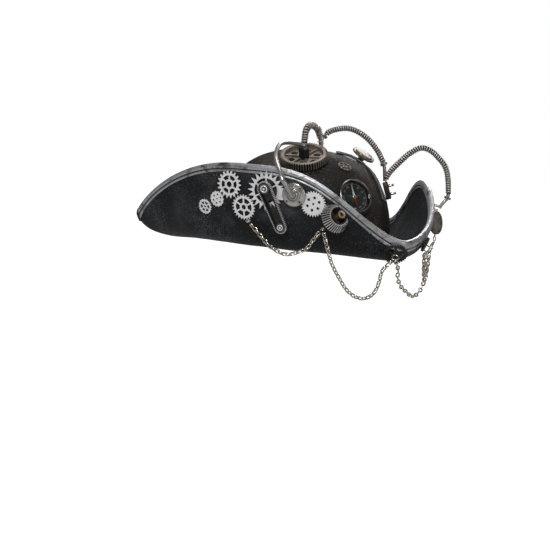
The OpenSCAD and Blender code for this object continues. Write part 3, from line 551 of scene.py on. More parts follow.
def bindingPaint():
    # silver paint over ridged binding: dark in the groove, brown where it is worn
    material, tree, shader, spot = startMaterial("bindingPaint")
    vector = spot.outputs["Object"]
    depth = addNode(tree, "ShaderNodeAttribute", attribute_name="ridge", attribute_type="GEOMETRY")
    patina = useGroup(tree, patinaGroup, vector, Scale=46.0, Cover=0.5, Clean=(0.52, 0.53, 0.55),
                      Aged=(0.17, 0.14, 0.12))
    scratches = useGroup(tree, scratchGroup, vector, Scale=260.0)
    streak = mathNode(tree, "MULTIPLY", scratches.outputs["Mask"], 0.55)
    painted = mixColour(tree, streak, patina.outputs["Color"], (0.82, 0.83, 0.85))
    worn = rampNode(tree, noiseNode(tree, vector, 34.0, 7.0, 0.72, 0.6), 0.5, 0.66)
    painted = mixColour(tree, worn, painted, (0.085, 0.066, 0.055))
    ragged = mathNode(tree, "ADD", depth.outputs["Fac"], mathNode(
        tree, "MULTIPLY", mathNode(tree, "SUBTRACT", noiseNode(tree, vector, 420.0, 5.0, 0.7), 0.5), 0.7))
    dark = rampNode(tree, ragged, 0.12, 0.5)
    tree.links.new(mixColour(tree, dark, (0.035, 0.033, 0.033), painted), shader.inputs["Base Color"])
    tree.links.new(mathNode(tree, "MULTIPLY", dark, 0.75), shader.inputs["Metallic"])
    spread = mathNode(tree, "MULTIPLY", patina.outputs["Mask"], 0.25)
    tree.links.new(mathNode(tree, "ADD", spread, 0.3), shader.inputs["Roughness"])
    relief = mathNode(tree, "ADD", patina.outputs["Height"], scratches.outputs["Mask"])
    bumpInto(tree, shader, relief, 0.45, 0.0004)
    return material


def clearCap():
    material, tree, shader, spot = startMaterial("clearCap")
    shader.inputs["Base Color"].default_value = (0.97, 0.99, 1, 1)
    shader.inputs["Transmission Weight"].default_value = 1.0
    shader.inputs["IOR"].default_value = 1.2
    smears = noiseNode(tree, spot.outputs["Object"], 160.0, 4.0)
    tree.links.new(rampNode(tree, smears, 0.2, 3.4), shader.inputs["Roughness"])
    return material


finishes = {
    "brimLeather": leather("brimLeather", (0.007, 0.0075, 0.0085), (0.015, 0.016, 0.018), (0.12, 0.135, 0.15),
                           0.66, 420.0, 900.0, roughness=(0.45, 0.68), bump=0.8),
    "crownLeather": leather("crownLeather", (0.009, 0.0068, 0.006), (0.020, 0.015, 0.0125), (0.11, 0.088, 0.074),
                            0.72, 380.0, 900.0, patchScale=30.0, roughness=(0.55, 0.8), bump=1.0),
    "bandLeather": leather("bandLeather", (0.05, 0.035, 0.028), (0.09, 0.066, 0.05), (0.14, 0.11, 0.09), 0.2),
    "wrapLeather": leather("wrapLeather", (0.012, 0.011, 0.011), (0.03, 0.028, 0.027), (0.12, 0.11, 0.1), 0.3),
    "lining": cloth("liningCloth", (0.016, 0.014, 0.016), (0.05, 0.045, 0.05), 500.0),
    "zipCloth": cloth("zipCloth", (0.010, 0.009, 0.009), (0.05, 0.046, 0.043), 800.0),
    "gunmetal": metal("gunmetal", (0.17, 0.165, 0.16), (0.04, 0.038, 0.037), 0.5, 120.0, 0.85, (0.2, 0.42),
                      0.2, 0.25),
    "zipMetal": metal("zipMetal", (0.36, 0.33, 0.30), (0.07, 0.06, 0.055), 0.6, 200.0, 0.8, (0.35, 0.6)),
    "binding": bindingPaint(),
    "bronze": metal("agedBronze", (0.25, 0.21, 0.18), (0.05, 0.04, 0.034), 0.6, 45.0, 0.55, (0.4, 0.62),
                    0.4, 0.3),
    "blackMetal": metal("blackMetal", (0.035, 0.033, 0.032), (0.010, 0.009, 0.009), 0.5, 120.0, 0.6, (0.35, 0.6),
                        0.3, 0.25),
    "pipeSilver": metal("pipeSilver", (0.50, 0.475, 0.45), (0.22, 0.195, 0.175), 0.4, 40.0, 0.85, (0.22, 0.4),
                        0.12),
    "pewter": metal("pewter", (0.60, 0.565, 0.53), (0.16, 0.14, 0.125), 0.45, 90.0, 0.92, (0.16, 0.36), 0.2, 0.2),
    "stamped": metal("stampedSilver", (0.90, 0.90, 0.90), (0.46, 0.455, 0.45), 0.42, 90.0, 0.3, (0.22, 0.4), 0.2,
                     0.3),
    "beltGrey": metal("beltGrey", (0.66, 0.65, 0.64), (0.22, 0.21, 0.20), 0.45, 150.0, 0.6, (0.3, 0.5)),
    "cupBrown": metal("cupBrown", (0.05, 0.034, 0.026), (0.016, 0.012, 0.010), 0.55, 100.0, 0.4, (0.4, 0.65)),
    "brassBrown": metal("brassBrown", (0.56, 0.41, 0.27), (0.16, 0.10, 0.065), 0.5, 110.0, 0.85, (0.22, 0.45)),
    "springMetal": metal("springMetal", (0.74, 0.69, 0.65), (0.36, 0.32, 0.29), 0.4, 90.0, 0.6, (0.25, 0.45)),
    "hoseTube": metal("hoseTube", (0.014, 0.012, 0.011), (0.006, 0.005, 0.005), 0.5, 120.0, 0.1, (0.6, 0.8)),
    "chainSilver": metal("chainSilver", (0.60, 0.55, 0.47), (0.24, 0.205, 0.16), 0.3, 240.0, 0.95, (0.18, 0.38)),
    "dialFace": metal("dialFace", (0.012, 0.013, 0.014), (0.006, 0.007, 0.008), 0.5, 160.0, 0.0, (0.35, 0.6), 0.1,
                      0.05),
    "dialMark": metal("dialMark", (0.62, 0.60, 0.55), (0.3, 0.28, 0.25), 0.4, 400.0, 0.1, (0.4, 0.6), 0.1),
    "dialGreen": metal("dialGreen", (0.02, 0.11, 0.04), (0.01, 0.045, 0.018), 0.4, 400.0, 0.0, (0.4, 0.6), 0.1),
    "needleRed": metal("needleRed", (0.36, 0.02, 0.015), (0.14, 0.01, 0.01), 0.35, 400.0, 0.1, (0.35, 0.5), 0.1),
    "needleWhite": metal("needleWhite", (0.85, 0.84, 0.80), (0.5, 0.48, 0.44), 0.3, 400.0, 0.1, (0.35, 0.5), 0.1),
    "clearCap": clearCap(),
    # the third colour of each is painted shade for the tooth roots
    "rootShadedBronze": rootShadedMetal("rootShadedBronze", (0.30, 0.26, 0.225), (0.06, 0.05, 0.043),
                                  (0.012, 0.010, 0.009), 0.55, 60.0, 0.6, (0.36, 0.6)),
    "rootShadedGrey": rootShadedMetal("rootShadedGrey", (0.66, 0.65, 0.64), (0.22, 0.21, 0.20),
                                (0.015, 0.014, 0.013), 0.4),
}
print("finishes mixed")

# ---- chains: they come first ----
chain = {"pitch": 0.0041, "wire": 0.00082, "linkLong": 0.0031, "linkWide": 0.0025, "width": 0.0045}
swags = {
    "chain_right": ("swag_right", 0.090, [
        (-110.5, -68.5, 22), (-109, -70, 20), (-104, -77, 12), (-99, -84, 4), (-95, -90, 0), (-90, -97, -3),
        (-86, -103, -3), (-81, -110, 0), (-76, -118, 5), (-73, -122.5, 13), (-70, -127.5, 21)]),
    "chain_brow": ("swag_brow", 0.129, [
        (-66, -132, 20), (-62, -135, 5), (-57, -137, -9), (-50, -141, -22), (-43, -145, -33), (-36, -149, -39),
        (-29, -153, -41), (-23, -157, -39), (-19, -161, -33), (-18, -165, -23), (-18, -169, -11),
        (-12.5, -174, -2)]),
    "chain_front": ("swag_front", 0.110, [
        (-5.5, -174, -2), (1, -170, -10), (3, -168, -19), (11, -165, -28), (18, -163, -32), (31, -160, -38),
        (43, -157, -31), (49, -155, -19), (48, -156, -7), (47, -158, 2), (48, -158.5, 7)]),
    "chain_left": ("swag_left", 0.104, [
        (109, -91, 11), (110, -86, 3), (105, -91, -11), (98, -98, -22), (90, -106, -27), (82, -114, -27),
        (75, -121, -21), (69, -127, -10), (66, -130, 0), (64.5, -132, 2.5)]),
}


def modelLink():
    bpy.ops.object.select_all(action="DESELECT")
    bpy.ops.mesh.primitive_torus_add(major_radius=chain["linkWide"] - chain["wire"], minor_radius=chain["wire"],
                                     major_segments=16, minor_segments=6)
    link = bpy.context.object
    stretch = chain["linkLong"] - chain["linkWide"]
    for vertex in link.data.vertices:
        vertex.co.x += stretch * (1 if vertex.co.x > 0 else -1) * min(1.0, abs(vertex.co.x) / 0.0004)
        twist = vertex.co.x / chain["linkLong"] * 0.32      # the half turn of a curb link
        y, z = vertex.co.y, vertex.co.z
        vertex.co.y = y * math.cos(twist) - z * math.sin(twist)
        vertex.co.z = y * math.sin(twist) + z * math.cos(twist)
    return link


def hangChains():
    link = modelLink()
    for node, (body, length, points) in swags.items():
        path = evenPath(smoothPath([Vector(p) / 1000 for p in points], 6), chain["pitch"])
        side = (path[-1] - path[0]).cross(Vector((0, 0, 1))).normalized()
        links = []
        for i, (p, d, u, w) in enumerate(framesAlong(path, side)):
            copy = link.copy()
            copy.data = link.data.copy()
            bpy.context.collection.objects.link(copy)
            lean = math.radians(48 if i % 2 else -48)
            across = u * math.cos(lean) + w * math.sin(lean)
            copy.matrix_world = Matrix((d, across, d.cross(across))).transposed().to_4x4()
            copy.matrix_world.translation = p
            links.append(copy)
        for copy in links:
            only(copy)
            bpy.ops.object.transform_apply(location=True, rotation=True, scale=True)
        piece = joined(links, node + "Links")
        smooth(piece, 60)
        settle(piece, node + "Links", finishes["chainSilver"], body, [node])
    bpy.data.objects.remove(link)


hangChains()
print("chains hung")

# ---- crown, brim and binding ----
shellGrid = {"crownColumns": 180, "crownRows": 84, "brimColumns": 240, "brimRows": 64, "lump": 0.0006}


def lumps(p, size, depth):
    from mathutils import noise
    return depth * (noise.noise(p / size) + 0.5 * noise.noise(p / size * 2.3))


def makeCrown():
    wall = crown["wall"]

    def place(along, across):
        angle = 360 * along
        if across < 0.62:                              # outer face, from the top down
            lift = 89.9 * (1 - across / 0.62)
            spot = crownPoint(angle, lift)
            return spot + crownNormal(angle, min(89, max(1, lift))) * lumps(spot, 0.03, shellGrid["lump"])
        if across < 0.66:
            return turned(angle, baseRadius(angle) - wall * (across - 0.62) / 0.04, 0)
        return crownPoint(angle, 89.9 * (across - 0.66) / 0.34, -wall)

    shell = layGrid(shellGrid["crownColumns"], shellGrid["crownRows"], place)
    smooth(shell, 50)
    settle(shell, "crownShell", finishes["crownLeather"], instead=["crown_shell"])


def bindingStart(angle):
    return 1 - 0.007 / brimEdge(angle)[1] * 2 / math.pi


def makeBrim():
    thick = brim["thick"]

    def place(along, across):
        angle = 360 * along
        outer = across <= 0.5
        way = across * 2 if outer else (1 - across) * 2
        spot = brimPoint(angle, way, 0 if outer else -thick)
        if 0.04 < across < 0.44:
            spot += (brimPoint(angle, way, 0.001) - brimPoint(angle, way, 0)).normalized() * lumps(
                spot, 0.035, shellGrid["lump"] * 0.8)
        return spot

    shell = layGrid(shellGrid["brimColumns"], shellGrid["brimRows"], place)
    smooth(shell, 50)
    settle(shell, "brimShell", finishes["brimLeather"], instead=["brim_shell"])


binding = {"wide": 0.007, "proud": 0.0014, "columns": 420, "rows": 56, "groove": 0.36, "thin": 0.30}


def ridgeHeight(share):
    # share 0 at the binding's lower hem, 1 at the brim's edge: a thin ridge, a groove, a broad ridge
    if share < binding["thin"]:
        return 0.25 + 0.6 * math.sin(math.pi * share / binding["thin"]) ** 0.6
    if share < binding["groove"] + 0.06:
        return 0.12
    rest = (share - binding["groove"] - 0.06) / (1 - binding["groove"] - 0.06)
    return 0.25 + 0.75 * math.sin(math.pi * min(1, 0.15 + rest * 0.7)) ** 0.7


def makeBinding():
    thick = brim["thick"]
    proud = binding["proud"]

    def place(along, across):
        angle = 360 * along
        start = bindingStart(angle)
        if across < 0.4:                               # outer face
            share = across / 0.4
            height = ridgeHeight(share)
            return brimPoint(angle, start + (1 - start) * share, proud * height)
        if across < 0.6:                               # over the edge
            turn = math.pi * (across - 0.4) / 0.2
            reach, top = brimEdge(angle)
            half = thick / 2 + proud * 0.45
            return turned(angle, reach - thick / 2 + half * math.cos(turn), top + proud * math.sin(turn) * 0.9)
        share = (1 - across) / 0.4
        height = ridgeHeight(share)
        return brimPoint(angle, start + (1 - start) * share, -thick - proud * height)

    strip = layGrid(binding["columns"], binding["rows"], place)
    ridge = strip.data.attributes.new("ridge", "FLOAT", "POINT")
    return strip, ridge


def ridgeAttribute(strip):
    # how proud each point stands, so the colour can be darker in the groove
    layer = strip.data.attributes["ridge"]
    for vertex in strip.data.vertices:
        p = vertex.co
        angle = math.degrees(math.atan2(-p.x, -p.y)) % 360
        reach, top = brimEdge(angle)
        start = bindingStart(angle)
        drop = max(0.0, top - p.z)
        radius = math.hypot(p.x, p.y)
        outer = radius > reach - brim["thick"] / 2 - 0.0002 or drop > 0.0006 and (
            p - brimPoint(angle, 1 - drop * 2 / math.pi / max(top, 0.01), 0)).length < (
            p - brimPoint(angle, 1 - drop * 2 / math.pi / max(top, 0.01), -brim["thick"])).length
        best, height = 9.0, 1.0
        for k in range(13):
            share = k / 12
            q = brimPoint(angle, start + (1 - start) * share, 0 if outer else -brim["thick"])
            d = (q - p).length
            if d < best:
                best, height = d, ridgeHeight(share)
        layer.data[vertex.index].value = height


makeCrown()
makeBrim()
strip, ridge = makeBinding()
ridgeAttribute(strip)
smooth(strip, 60)
settle(strip, "brimBinding", finishes["binding"], instead=["brim_trim"])
print("crown, brim and binding made")

# ---- binding wraps at the rear corners ----
for node in ("corner_wrap_right", "corner_wrap_left"):
    wrap = copyNode(node)
    applyModifier(wrap, "SUBSURF", levels=2, render_levels=2)
    smooth(wrap, 70)
    settle(wrap, node + "Leather", finishes["wrapLeather"], instead=[node])

# ---- zip band ----
zipBand = {"width": 0.008, "thick": 0.0012, "lift": 0.0004, "tooth": 0.0011, "pitch": 0.00155}
zipRoute = [(-44, 57), (-38, 52), (-33, 45), (-28, 36), (-25, 25)]


def easedStations(stations, steps):
    flat = smoothPath([(a, b, 0) for a, b in stations], steps)
    return [(p.x, p.y) for p in flat]


def zipFrames(count):
    stations = easedStations(zipRoute, 40)
    points = [crownPoint(a, b) for a, b in stations]
    frames = []
    for k in range(count + 1):
        i = min(len(points) - 1, round(k * (len(points) - 1) / count))
        d = (points[min(len(points) - 1, i + 1)] - points[max(0, i - 1)]).normalized()
        n = crownNormal(*stations[i])
        n = (n - d * n.dot(d)).normalized()
        frames.append((points[i], d, n, n.cross(d)))
    return frames


def makeZip():
    frames = zipFrames(60)
    half = zipBand["width"] / 2

    def place(along, across):
        p, d, n, s = frames[min(60, round(along * 60))]
        end = min(1.0, math.sqrt(max(0.0, 1 - max(0.0, (along - 0.93) / 0.07) ** 2)) + 0.02)
        around = 2 * math.pi * across
        flat = max(-1, min(1, 1.4 * math.cos(around)))
        rise = zipBand["lift"] + zipBand["thick"] / 2 * (1 + max(-1, min(1, 2.2 * math.sin(around))))
        channel = 0.00035 * math.cos(flat * math.pi * 2) * (1 if math.sin(around) > 0 else 0)
        return p + s * half * flat * end + n * (rise + channel * 0.6)

    tape = layGrid(60, 24, place)
    editAll(tape, lambda: bpy.ops.mesh.select_non_manifold(), lambda: None)
    editAll(tape, lambda: bpy.ops.mesh.select_all(action="DESELECT"), lambda: bpy.ops.mesh.select_non_manifold(),
            lambda: bpy.ops.mesh.edge_face_add(), lambda: bpy.ops.mesh.select_all(action="SELECT"), faceOut)
    smooth(tape, 50)
    settle(tape, "zipBand", finishes["zipCloth"], instead=["zip_tape"])
    # one tooth, bevelled, then copied down both edges
    size = zipBand["tooth"]
    bpy.ops.object.select_all(action="DESELECT")
    bpy.ops.mesh.primitive_cube_add(size=size)
    tooth = bpy.context.object
    applyModifier(tooth, "BEVEL", width=size * 0.22, segments=1)
    points = [crownPoint(a, b) for a, b in easedStations(zipRoute, 40)]
    length = sum((b - a).length for a, b in zip(points[:-1], points[1:]))
    count = int(length / zipBand["pitch"])
    teeth = []
    for p, d, n, s in zipFrames(count):
        for edge in (-1, 1):
            copy = tooth.copy()
            copy.data = tooth.data.copy()
            bpy.context.collection.objects.link(copy)
            place = Matrix((s, d, n)).transposed().to_4x4()
            place.translation = p + s * edge * (half - size * 0.5) + n * (
                zipBand["lift"] + zipBand["thick"] + size * 0.32)
            copy.matrix_world = place
            teeth.append(copy)
    bpy.data.objects.remove(tooth)
    rack = joined(teeth, "zipTeethRows")
    smooth(rack, 30)
    settle(rack, "zipTeethRows", finishes["zipMetal"], instead=["zip_teeth"])


makeZip()
print("zip sewn on")

# ---- hoses with their springs ----
hose = {"tube": 0.0019, "wire": 0.00053, "turn": 0.0025, "shortSpring": 0.004,
        "longSpring": 0.0036}


def archPoints(start, finish, stations):
    a, b = Vector(start), Vector(finish)
    run = Vector((b.x - a.x, b.y - a.y, 0))
    return [a + run * share + Vector((0, 0, rise / 1000)) for share, rise in stations]


def archSide(start, finish):
    a, b = Vector(start), Vector(finish)
    return Vector((b.x - a.x, b.y - a.y, 0)).cross(Vector((0, 0, 1))).normalized()


def coil(points, side, radius, wire, turn, name):
    # a spring wound round the line, with about ten points to each turn
    path = evenPath(points, turn / 10)
    winding = []
    for i, (p, d, u, w) in enumerate(framesAlong(path, side)):
        a = 2 * math.pi * i / 10
        winding.append(p + (u * math.cos(a) + w * math.sin(a)) * (radius - wire))
    return ropeMesh(winding, wire, 6, name)


hoses = {
    "short": {"start": (-0.03068, -0.03582, 0.10077), "end": (0.00383, -0.018, 0.1022),
              "spring": hose["shortSpring"],
              "from": 2, "to": 15, "pulled": 0.0045,
              "stations": [(0, 0), (0, 12), (0.06, 22), (0.31, 27), (0.68, 24), (0.88, 16), (1, 1.43)]},
    "crown": {"start": (0.01311, -0.00668, 0.10226), "end": (0.06248, -0.05819, 0.07376),
              "spring": hose["longSpring"],
              "from": 5, "to": 24,
              "stations": [(0, 0), (0, 12), (0.1, 20), (0.25, 24), (0.4, 25), (0.56, 21.5), (0.72, 14), (0.86, 3),
                           (0.95, -8), (0.98, -14), (1, -28.5)]},
    "flap": {"start": (0.05863, -0.06279, 0.07395), "end": (0.10782, -0.09819, 0.04971),
             "spring": hose["longSpring"],
             "from": 1, "to": 27,
             "stations": [(0, 0), (0.08, 10), (0.23, 21), (0.41, 32), (0.6, 38.5), (0.78, 36), (0.94, 28),
                          (1.05, 20), (1.11, 9), (1.14, -8), (1.12, -14), (1.06, -18.5), (1, -24.24)]},
}


def makeHoses():
    for name, facts in hoses.items():
        corners = archPoints(facts["start"], facts["end"], facts["stations"])
        side = archSide(facts["start"], facts["end"])
        fine = smoothPath(corners, 9)
        tube = ropeMesh(evenPath(fine, 0.0012), hose["tube"], 12, name + "Tube")
        smooth(tube, 60)
        settle(tube, name + "HoseTube", finishes["pipeSilver"], instead=[name + "_hose"])
        wound = fine[facts["from"] * 3:facts["to"] * 3 + 1]
        core = ropeMesh(evenPath(wound, 0.0015), facts["spring"] - 1.6 * hose["wire"], 16, name + "Core")
        smooth(core, 60)
        settle(core, name + "HoseCore", finishes["hoseTube"])
        spring = coil(wound, side, facts["spring"], hose["wire"], hose["turn"], name + "Spring")
        if "pulled" in facts:                          # the last turns are pulled apart
            loose = fine[facts["to"] * 3:-4]
            end = coil(loose, side, facts["spring"] * 0.95, hose["wire"] * 0.9, facts["pulled"], "pulled")
            spring = joined([spring, end], name + "Spring")
        smooth(spring, 60)
        settle(spring, name + "HoseSpring", finishes["springMetal"],
               instead=[name + "_hose_spring"])


makeHoses()


def turnedRing(profile, steps=40):
    # a ring spun from its section, given as (radius, height) points
    bpy.ops.object.select_all(action="DESELECT")
    bpy.ops.mesh.primitive_circle_add(vertices=len(profile), radius=0.001)
    obj = bpy.context.object
    for vertex, (radius, height) in zip(obj.data.vertices, profile):
        vertex.co = (radius, 0, height)
    editAll(obj, lambda: bpy.ops.mesh.spin(steps=steps, angle=2 * math.pi, center=(0, 0, 0), axis=(0, 0, 1)),
            lambda: bpy.ops.mesh.select_all(action="SELECT"), mergeClose(1e-6), faceOut)
    return obj


def ferruleRing():
    r = hose["longSpring"] + 0.0005
    inner = hose["tube"] + 0.0002
    return turnedRing([(inner, -0.0016), (r - 0.0006, -0.0016), (r, -0.0013), (r, -0.0007), (r - 0.0005, -0.0004),
                       (r - 0.0005, 0.0001), (r, 0.0004), (r, 0.0009), (r - 0.0009, 0.0016), (inner, 0.0016)], 28)


def makeFerrules():
    rings = []
    for name, spot in (("crown", 4), ("crown", 25), ("flap", 29)):
        facts = hoses[name]
        fine = smoothPath(archPoints(facts["start"], facts["end"], facts["stations"]), 3)
        p, d, u, w = framesAlong(fine, archSide(facts["start"], facts["end"]))[spot]
        ring = ferruleRing()
        ring.matrix_world = seatMatrix(p, d, u)
        rings.append(ring)
    for ring in rings:
        only(ring)
        bpy.ops.object.transform_apply(location=True, rotation=True, scale=True)
    piece = joined(rings, "hoseFerruleRings")
    smooth(piece, 35)
    settle(piece, "hoseFerruleRings", finishes["pipeSilver"], instead=["hose_ferrules"])


makeFerrules()
print("hoses wound")

# ---- bent pipe ----
pipe = {"radius": 0.0022, "start": (-0.04125, -0.04983, 0.10599), "end": (-0.09664, -0.11381, 0.0566),
        "bends": [(0.04, 4, 1), (0.22, 14, 2), (0.45, 20, 0), (0.7, 21, -7), (0.88, 19, -15), (1.02, 14, -24),
                  (1.1, 9, -34), (1.08, 4, -41)]}


def makePipe():
    a, b = Vector(pipe["start"]), Vector(pipe["end"])
    run = Vector((b.x - a.x, b.y - a.y, 0))
    side = run.normalized().cross(Vector((0, 0, 1)))
    corners = [a] + [a + run * share + side * out / 1000 + Vector((0, 0, rise / 1000))
                     for share, out, rise in pipe["bends"]] + [b]
    tube = ropeMesh(evenPath(smoothPath(corners, 9), 0.0012), pipe["radius"], 20, "bentPipe")
    smooth(tube, 60)
    settle(tube, "bentSilverPipe", finishes["pipeSilver"], instead=["bent_pipe"])


makePipe()

# ---- cast, stamped and turned metal, from the frame with its edges broken ----
metalwork = {
    "big_gear": ("bronze", "bronze", 0.00022), "big_gear_hub": ("blackMetal", "black_metal", 0.00018),
    "flange_plate": ("pewter", "pewter", 0.0002), "flange_screws": ("blackMetal", "screw_dark", 0.0002),
    "ring_gear": ("stamped", "stamped_silver", 0.00016), "button_gear": ("stamped", "stamped_silver", 0.00016),
    "upper_gear": ("stamped", "stamped_silver", 0.0002), "lower_gear": ("stamped", "stamped_silver", 0.0002),
    "spike_gear": ("stamped", "stamped_silver", 0.0002), "pierced_gear": ("stamped", "stamped_silver", 0.0002),
    "drive_plate": ("blackMetal", "black_metal", 0.00015), "pulley_pins": ("stamped", "stamped_silver", 0.0002),
    "deep_cog": ("beltGrey", "belt_grey", 0.0002), "deep_cog_cup": ("cupBrown", "cup_brown", 0.0003),
    "deep_cog_horn": ("brassBrown", "brass_brown", 0.0003), "compass_case": ("gunmetal", "pewter", 0.0003),
    "compass_pivot": ("brassBrown", "brass_brown", 0.0001), "crown_gear": ("bronze", "bronze", 0.0002),
    "crown_disc": ("bronze", "bronze", 0.0002), "hose_block": ("cupBrown", "block_brown", 0.0008),
    "hose_block_prongs": ("pewter", "pewter", 0.0003), "left_disc": ("bronze", "bronze", 0.0002),
    "left_disc_post": ("blackMetal", "black_metal", 0.0003), "left_prongs": ("pewter", "pewter", 0.0003),
    "under_gear": ("blackMetal", "black_metal", 0.0002), "dark_gear": ("blackMetal", "black_metal", 0.0002),
}
# gears whose tooth roots get painted shade; root and tip are the radii there
toothed = {
    "big_gear": {"finish": "rootShadedBronze", "root": 0.0234, "tip": 0.025},
    "deep_cog": {"finish": "rootShadedGrey", "root": 0.0139, "tip": 0.0155, "taper": 32.5,
                 "centredOn": "deep_cog_horn"},
    "left_disc": {"finish": "rootShadedBronze", "root": 0.0113, "tip": 0.0125},
    "crown_disc": {"finish": "rootShadedBronze", "root": 0.012, "tip": 0.013},
}


def markShadedRoots(obj, node, facts):
    # 1 on tooth tips and flat faces, 0 in the roots, for the finish to read as the mask of its painted shade in
    # the roots
    centre, axis = roundSeat(node, facts.get("centredOn"))
    mesh = obj.data
    mark = mesh.attributes.new("tooth", "FLOAT", "CORNER")
    for face in mesh.polygons:
        flat = abs(face.normal.dot(axis)) > 0.9
        for k in face.loop_indices:
            p = mesh.vertices[mesh.loops[k].vertex_index].co - centre
            high = p.dot(axis)
            shrink = 1 - facts.get("taper", 0) * high
            depth = (facts["tip"] - facts["root"]) * shrink
            share = ((p - axis * high).length - facts["root"] * shrink) / depth
            mark.data[k].value = 1.0 if flat or share < -0.4 else min(1.0, max(0.0, share))


for node, (finish, slot, bevel) in metalwork.items():
    if node in toothed:
        finish = toothed[node]["finish"]
        piece = copyNode(node)
        markShadedRoots(piece, node, toothed[node])
        smooth(piece, 20)
    else:
        piece = copyNode(node, bevel)
    settle(piece, node + "Metal", finishes[finish], instead=[node])
print("metalwork finished")

# the eyes and the linings keep their frame shape, and the bar is rounded
for node, finish in (("chain_eyes", "chainSilver"), ("crown_lining", "lining"), ("sweatband", "bandLeather")):
    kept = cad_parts[node]
    kept.data.materials.clear()
    kept.data.materials.append(finishes[finish])
bar = copyNode("crown_bar")
applyModifier(bar, "SUBSURF", levels=2, render_levels=2)
smooth(bar, 60)
settle(bar, "crownBarRound", finishes["pipeSilver"], instead=["crown_bar"])

# ---- flange collar, turned in steps ----
flange = {"face": 0.002}


def makeCollar():
    steps = [(0.0005, 0), (0.0076, 0), (0.0076, 0.0012), (0.0072, 0.0017), (0.0063, 0.0017), (0.0059, 0.0009),
             (0.0054, 0.0011), (0.0052, 0.0028), (0.0047, 0.0033), (0.0040, 0.0033), (0.0036, 0.0026),
             (0.0033, 0.003), (0.0032, 0.0046), (0.0028, 0.0051), (0.0005, 0.0051)]
    collar = turnedRing(steps, 48)
    centre, normal = roundSeat("flange_plate")
    place = seatMatrix(centre + normal * flange["face"], normal)
    collar.matrix_world = place
    smooth(collar, 35)
    settle(collar, "flangeCollarTurned", finishes["pipeSilver"], instead=["flange_collar"])


makeCollar()

# ---- belt drive: a toothed belt round two pulleys ----
topPulley, driveNormal = roundSeat("upper_pulley")
footPulley, footNormal = roundSeat("lower_pulley")
drive = {"pitch": (topPulley - footPulley).length, "top": 0.0056, "foot": 0.0046, "belt": 0.0013,
         "wide": 0.003, "base": 0.0009, "tooth": 0.0016}


def strapPoint(share, grow=0.0):
    # a point and its outward turn on the belt's line, share from 0 to 1 round it
    top, foot, pitch = drive["top"] + grow, drive["foot"] + grow, drive["pitch"]
    tilt = math.asin((top - foot) / pitch)
    straight = math.sqrt(pitch ** 2 - (top - foot) ** 2)
    legs = [top * (math.pi + 2 * tilt), straight, foot * (math.pi - 2 * tilt), straight]
    way = share % 1 * sum(legs)
    if way < legs[0]:
        a = -tilt + way / top
        return Vector((top * math.cos(a), top * math.sin(a), 0)), a
    way -= legs[0]
    if way < legs[1]:
        a = math.pi + tilt
        start = Vector((top * math.cos(a), top * math.sin(a), 0))
        return start + Vector((math.sin(tilt), -math.cos(tilt), 0)) * way, a
    way -= legs[1]
    if way < legs[2]:
        a = math.pi + tilt + way / foot
        return Vector((foot * math.cos(a), foot * math.sin(a) - pitch, 0)), a
    way -= legs[2]
    a = -tilt
    start = Vector((foot * math.cos(a), foot * math.sin(a) - pitch, 0))
    return start + Vector((math.sin(tilt), math.cos(tilt), 0)) * way, a


def driveMatrix():
    return seatMatrix(topPulley - driveNormal * drive["base"], driveNormal, topPulley - footPulley)


def makeBelt():
    count = 150
    band = layGrid(count, 4, lambda along, across: strapPoint(along, 0.00015 + (
        drive["belt"] if across in (0.25, 0.5) else 0))[0] + Vector((0, 0, drive["base"] + (
            drive["wide"] if across in (0.5, 0.75) else 0))))
    applyModifier(band, "BEVEL", width=0.00015, segments=1, limit_method="ANGLE")
    bpy.ops.object.select_all(action="DESELECT")
    bpy.ops.mesh.primitive_cube_add(size=1)
    tooth = bpy.context.object
    tooth.scale = (0.0013, 0.0009, drive["wide"] * 1.12)
    bpy.ops.object.transform_apply(location=True, rotation=True, scale=True)
    applyModifier(tooth, "BEVEL", width=0.00018, segments=1)
    total = 2 * drive["pitch"] + math.pi * (drive["top"] + drive["foot"])
    teeth = []
    steps = int(total / drive["tooth"])
    for k in range(steps):
        p, a = strapPoint(k / steps, drive["belt"])
        copy = tooth.copy()
        copy.data = tooth.data.copy()
        bpy.context.collection.objects.link(copy)
        middle = p + Vector((0, 0, drive["base"] + drive["wide"] / 2))
        copy.matrix_world = Matrix.Translation(middle) @ Matrix.Rotation(a, 4, "Z")
        only(copy)
        bpy.ops.object.transform_apply(location=True, rotation=True, scale=True)
        teeth.append(copy)
    bpy.data.objects.remove(tooth)
    for piece, name, finish, instead in ((band, "driveBeltBand", "blackMetal", ["drive_belt"]),
                                         (joined(teeth, "driveBeltTeeth"), "driveBeltTeeth", "beltGrey", ())):
        piece.matrix_world = driveMatrix()
        smooth(piece, 30)
        settle(piece, name, finishes[finish], instead=instead)


def makePulley(radius, down, name, node):
    z, r, w = drive["base"], radius, drive["wide"]
    wheel = turnedRing([(0.00112, z), (r, z), (r, z + w * 0.8), (r * 0.95, z + w), (r * 0.86, z + w),
                        (r * 0.82, z + w - 0.0005), (r * 0.66, z + w - 0.0005), (r * 0.62, z + w),
                        (r * 0.62, z + w + 0.0004), (r * 0.5, z + w + 0.0005), (r * 0.46, z + w),
                        (r * 0.34, z + w), (r * 0.3, z + w + 0.0004), (0.00112, z + w + 0.0004)], 40)
    wheel.matrix_world = driveMatrix() @ Matrix.Translation((0, -down, 0))
    smooth(wheel, 35)
    settle(wheel, name, finishes["gunmetal"], instead=[node])
    top = z + w
    band = turnedRing([(r * 0.48, top - 0.0001), (r * 0.66, top - 0.0001), (r * 0.66, top + 0.0006),
                       (r * 0.61, top + 0.0008), (r * 0.53, top + 0.0008), (r * 0.48, top + 0.0006)], 40)
    band.matrix_world = driveMatrix() @ Matrix.Translation((0, -down, 0))
    smooth(band, 35)
    settle(band, name + "Band", finishes["stamped"])


makeBelt()
makePulley(drive["top"], 0, "upperPulleyTurned", "upper_pulley")
makePulley(drive["foot"], drive["pitch"], "lowerPulleyTurned", "lower_pulley")
print("belt drive made")

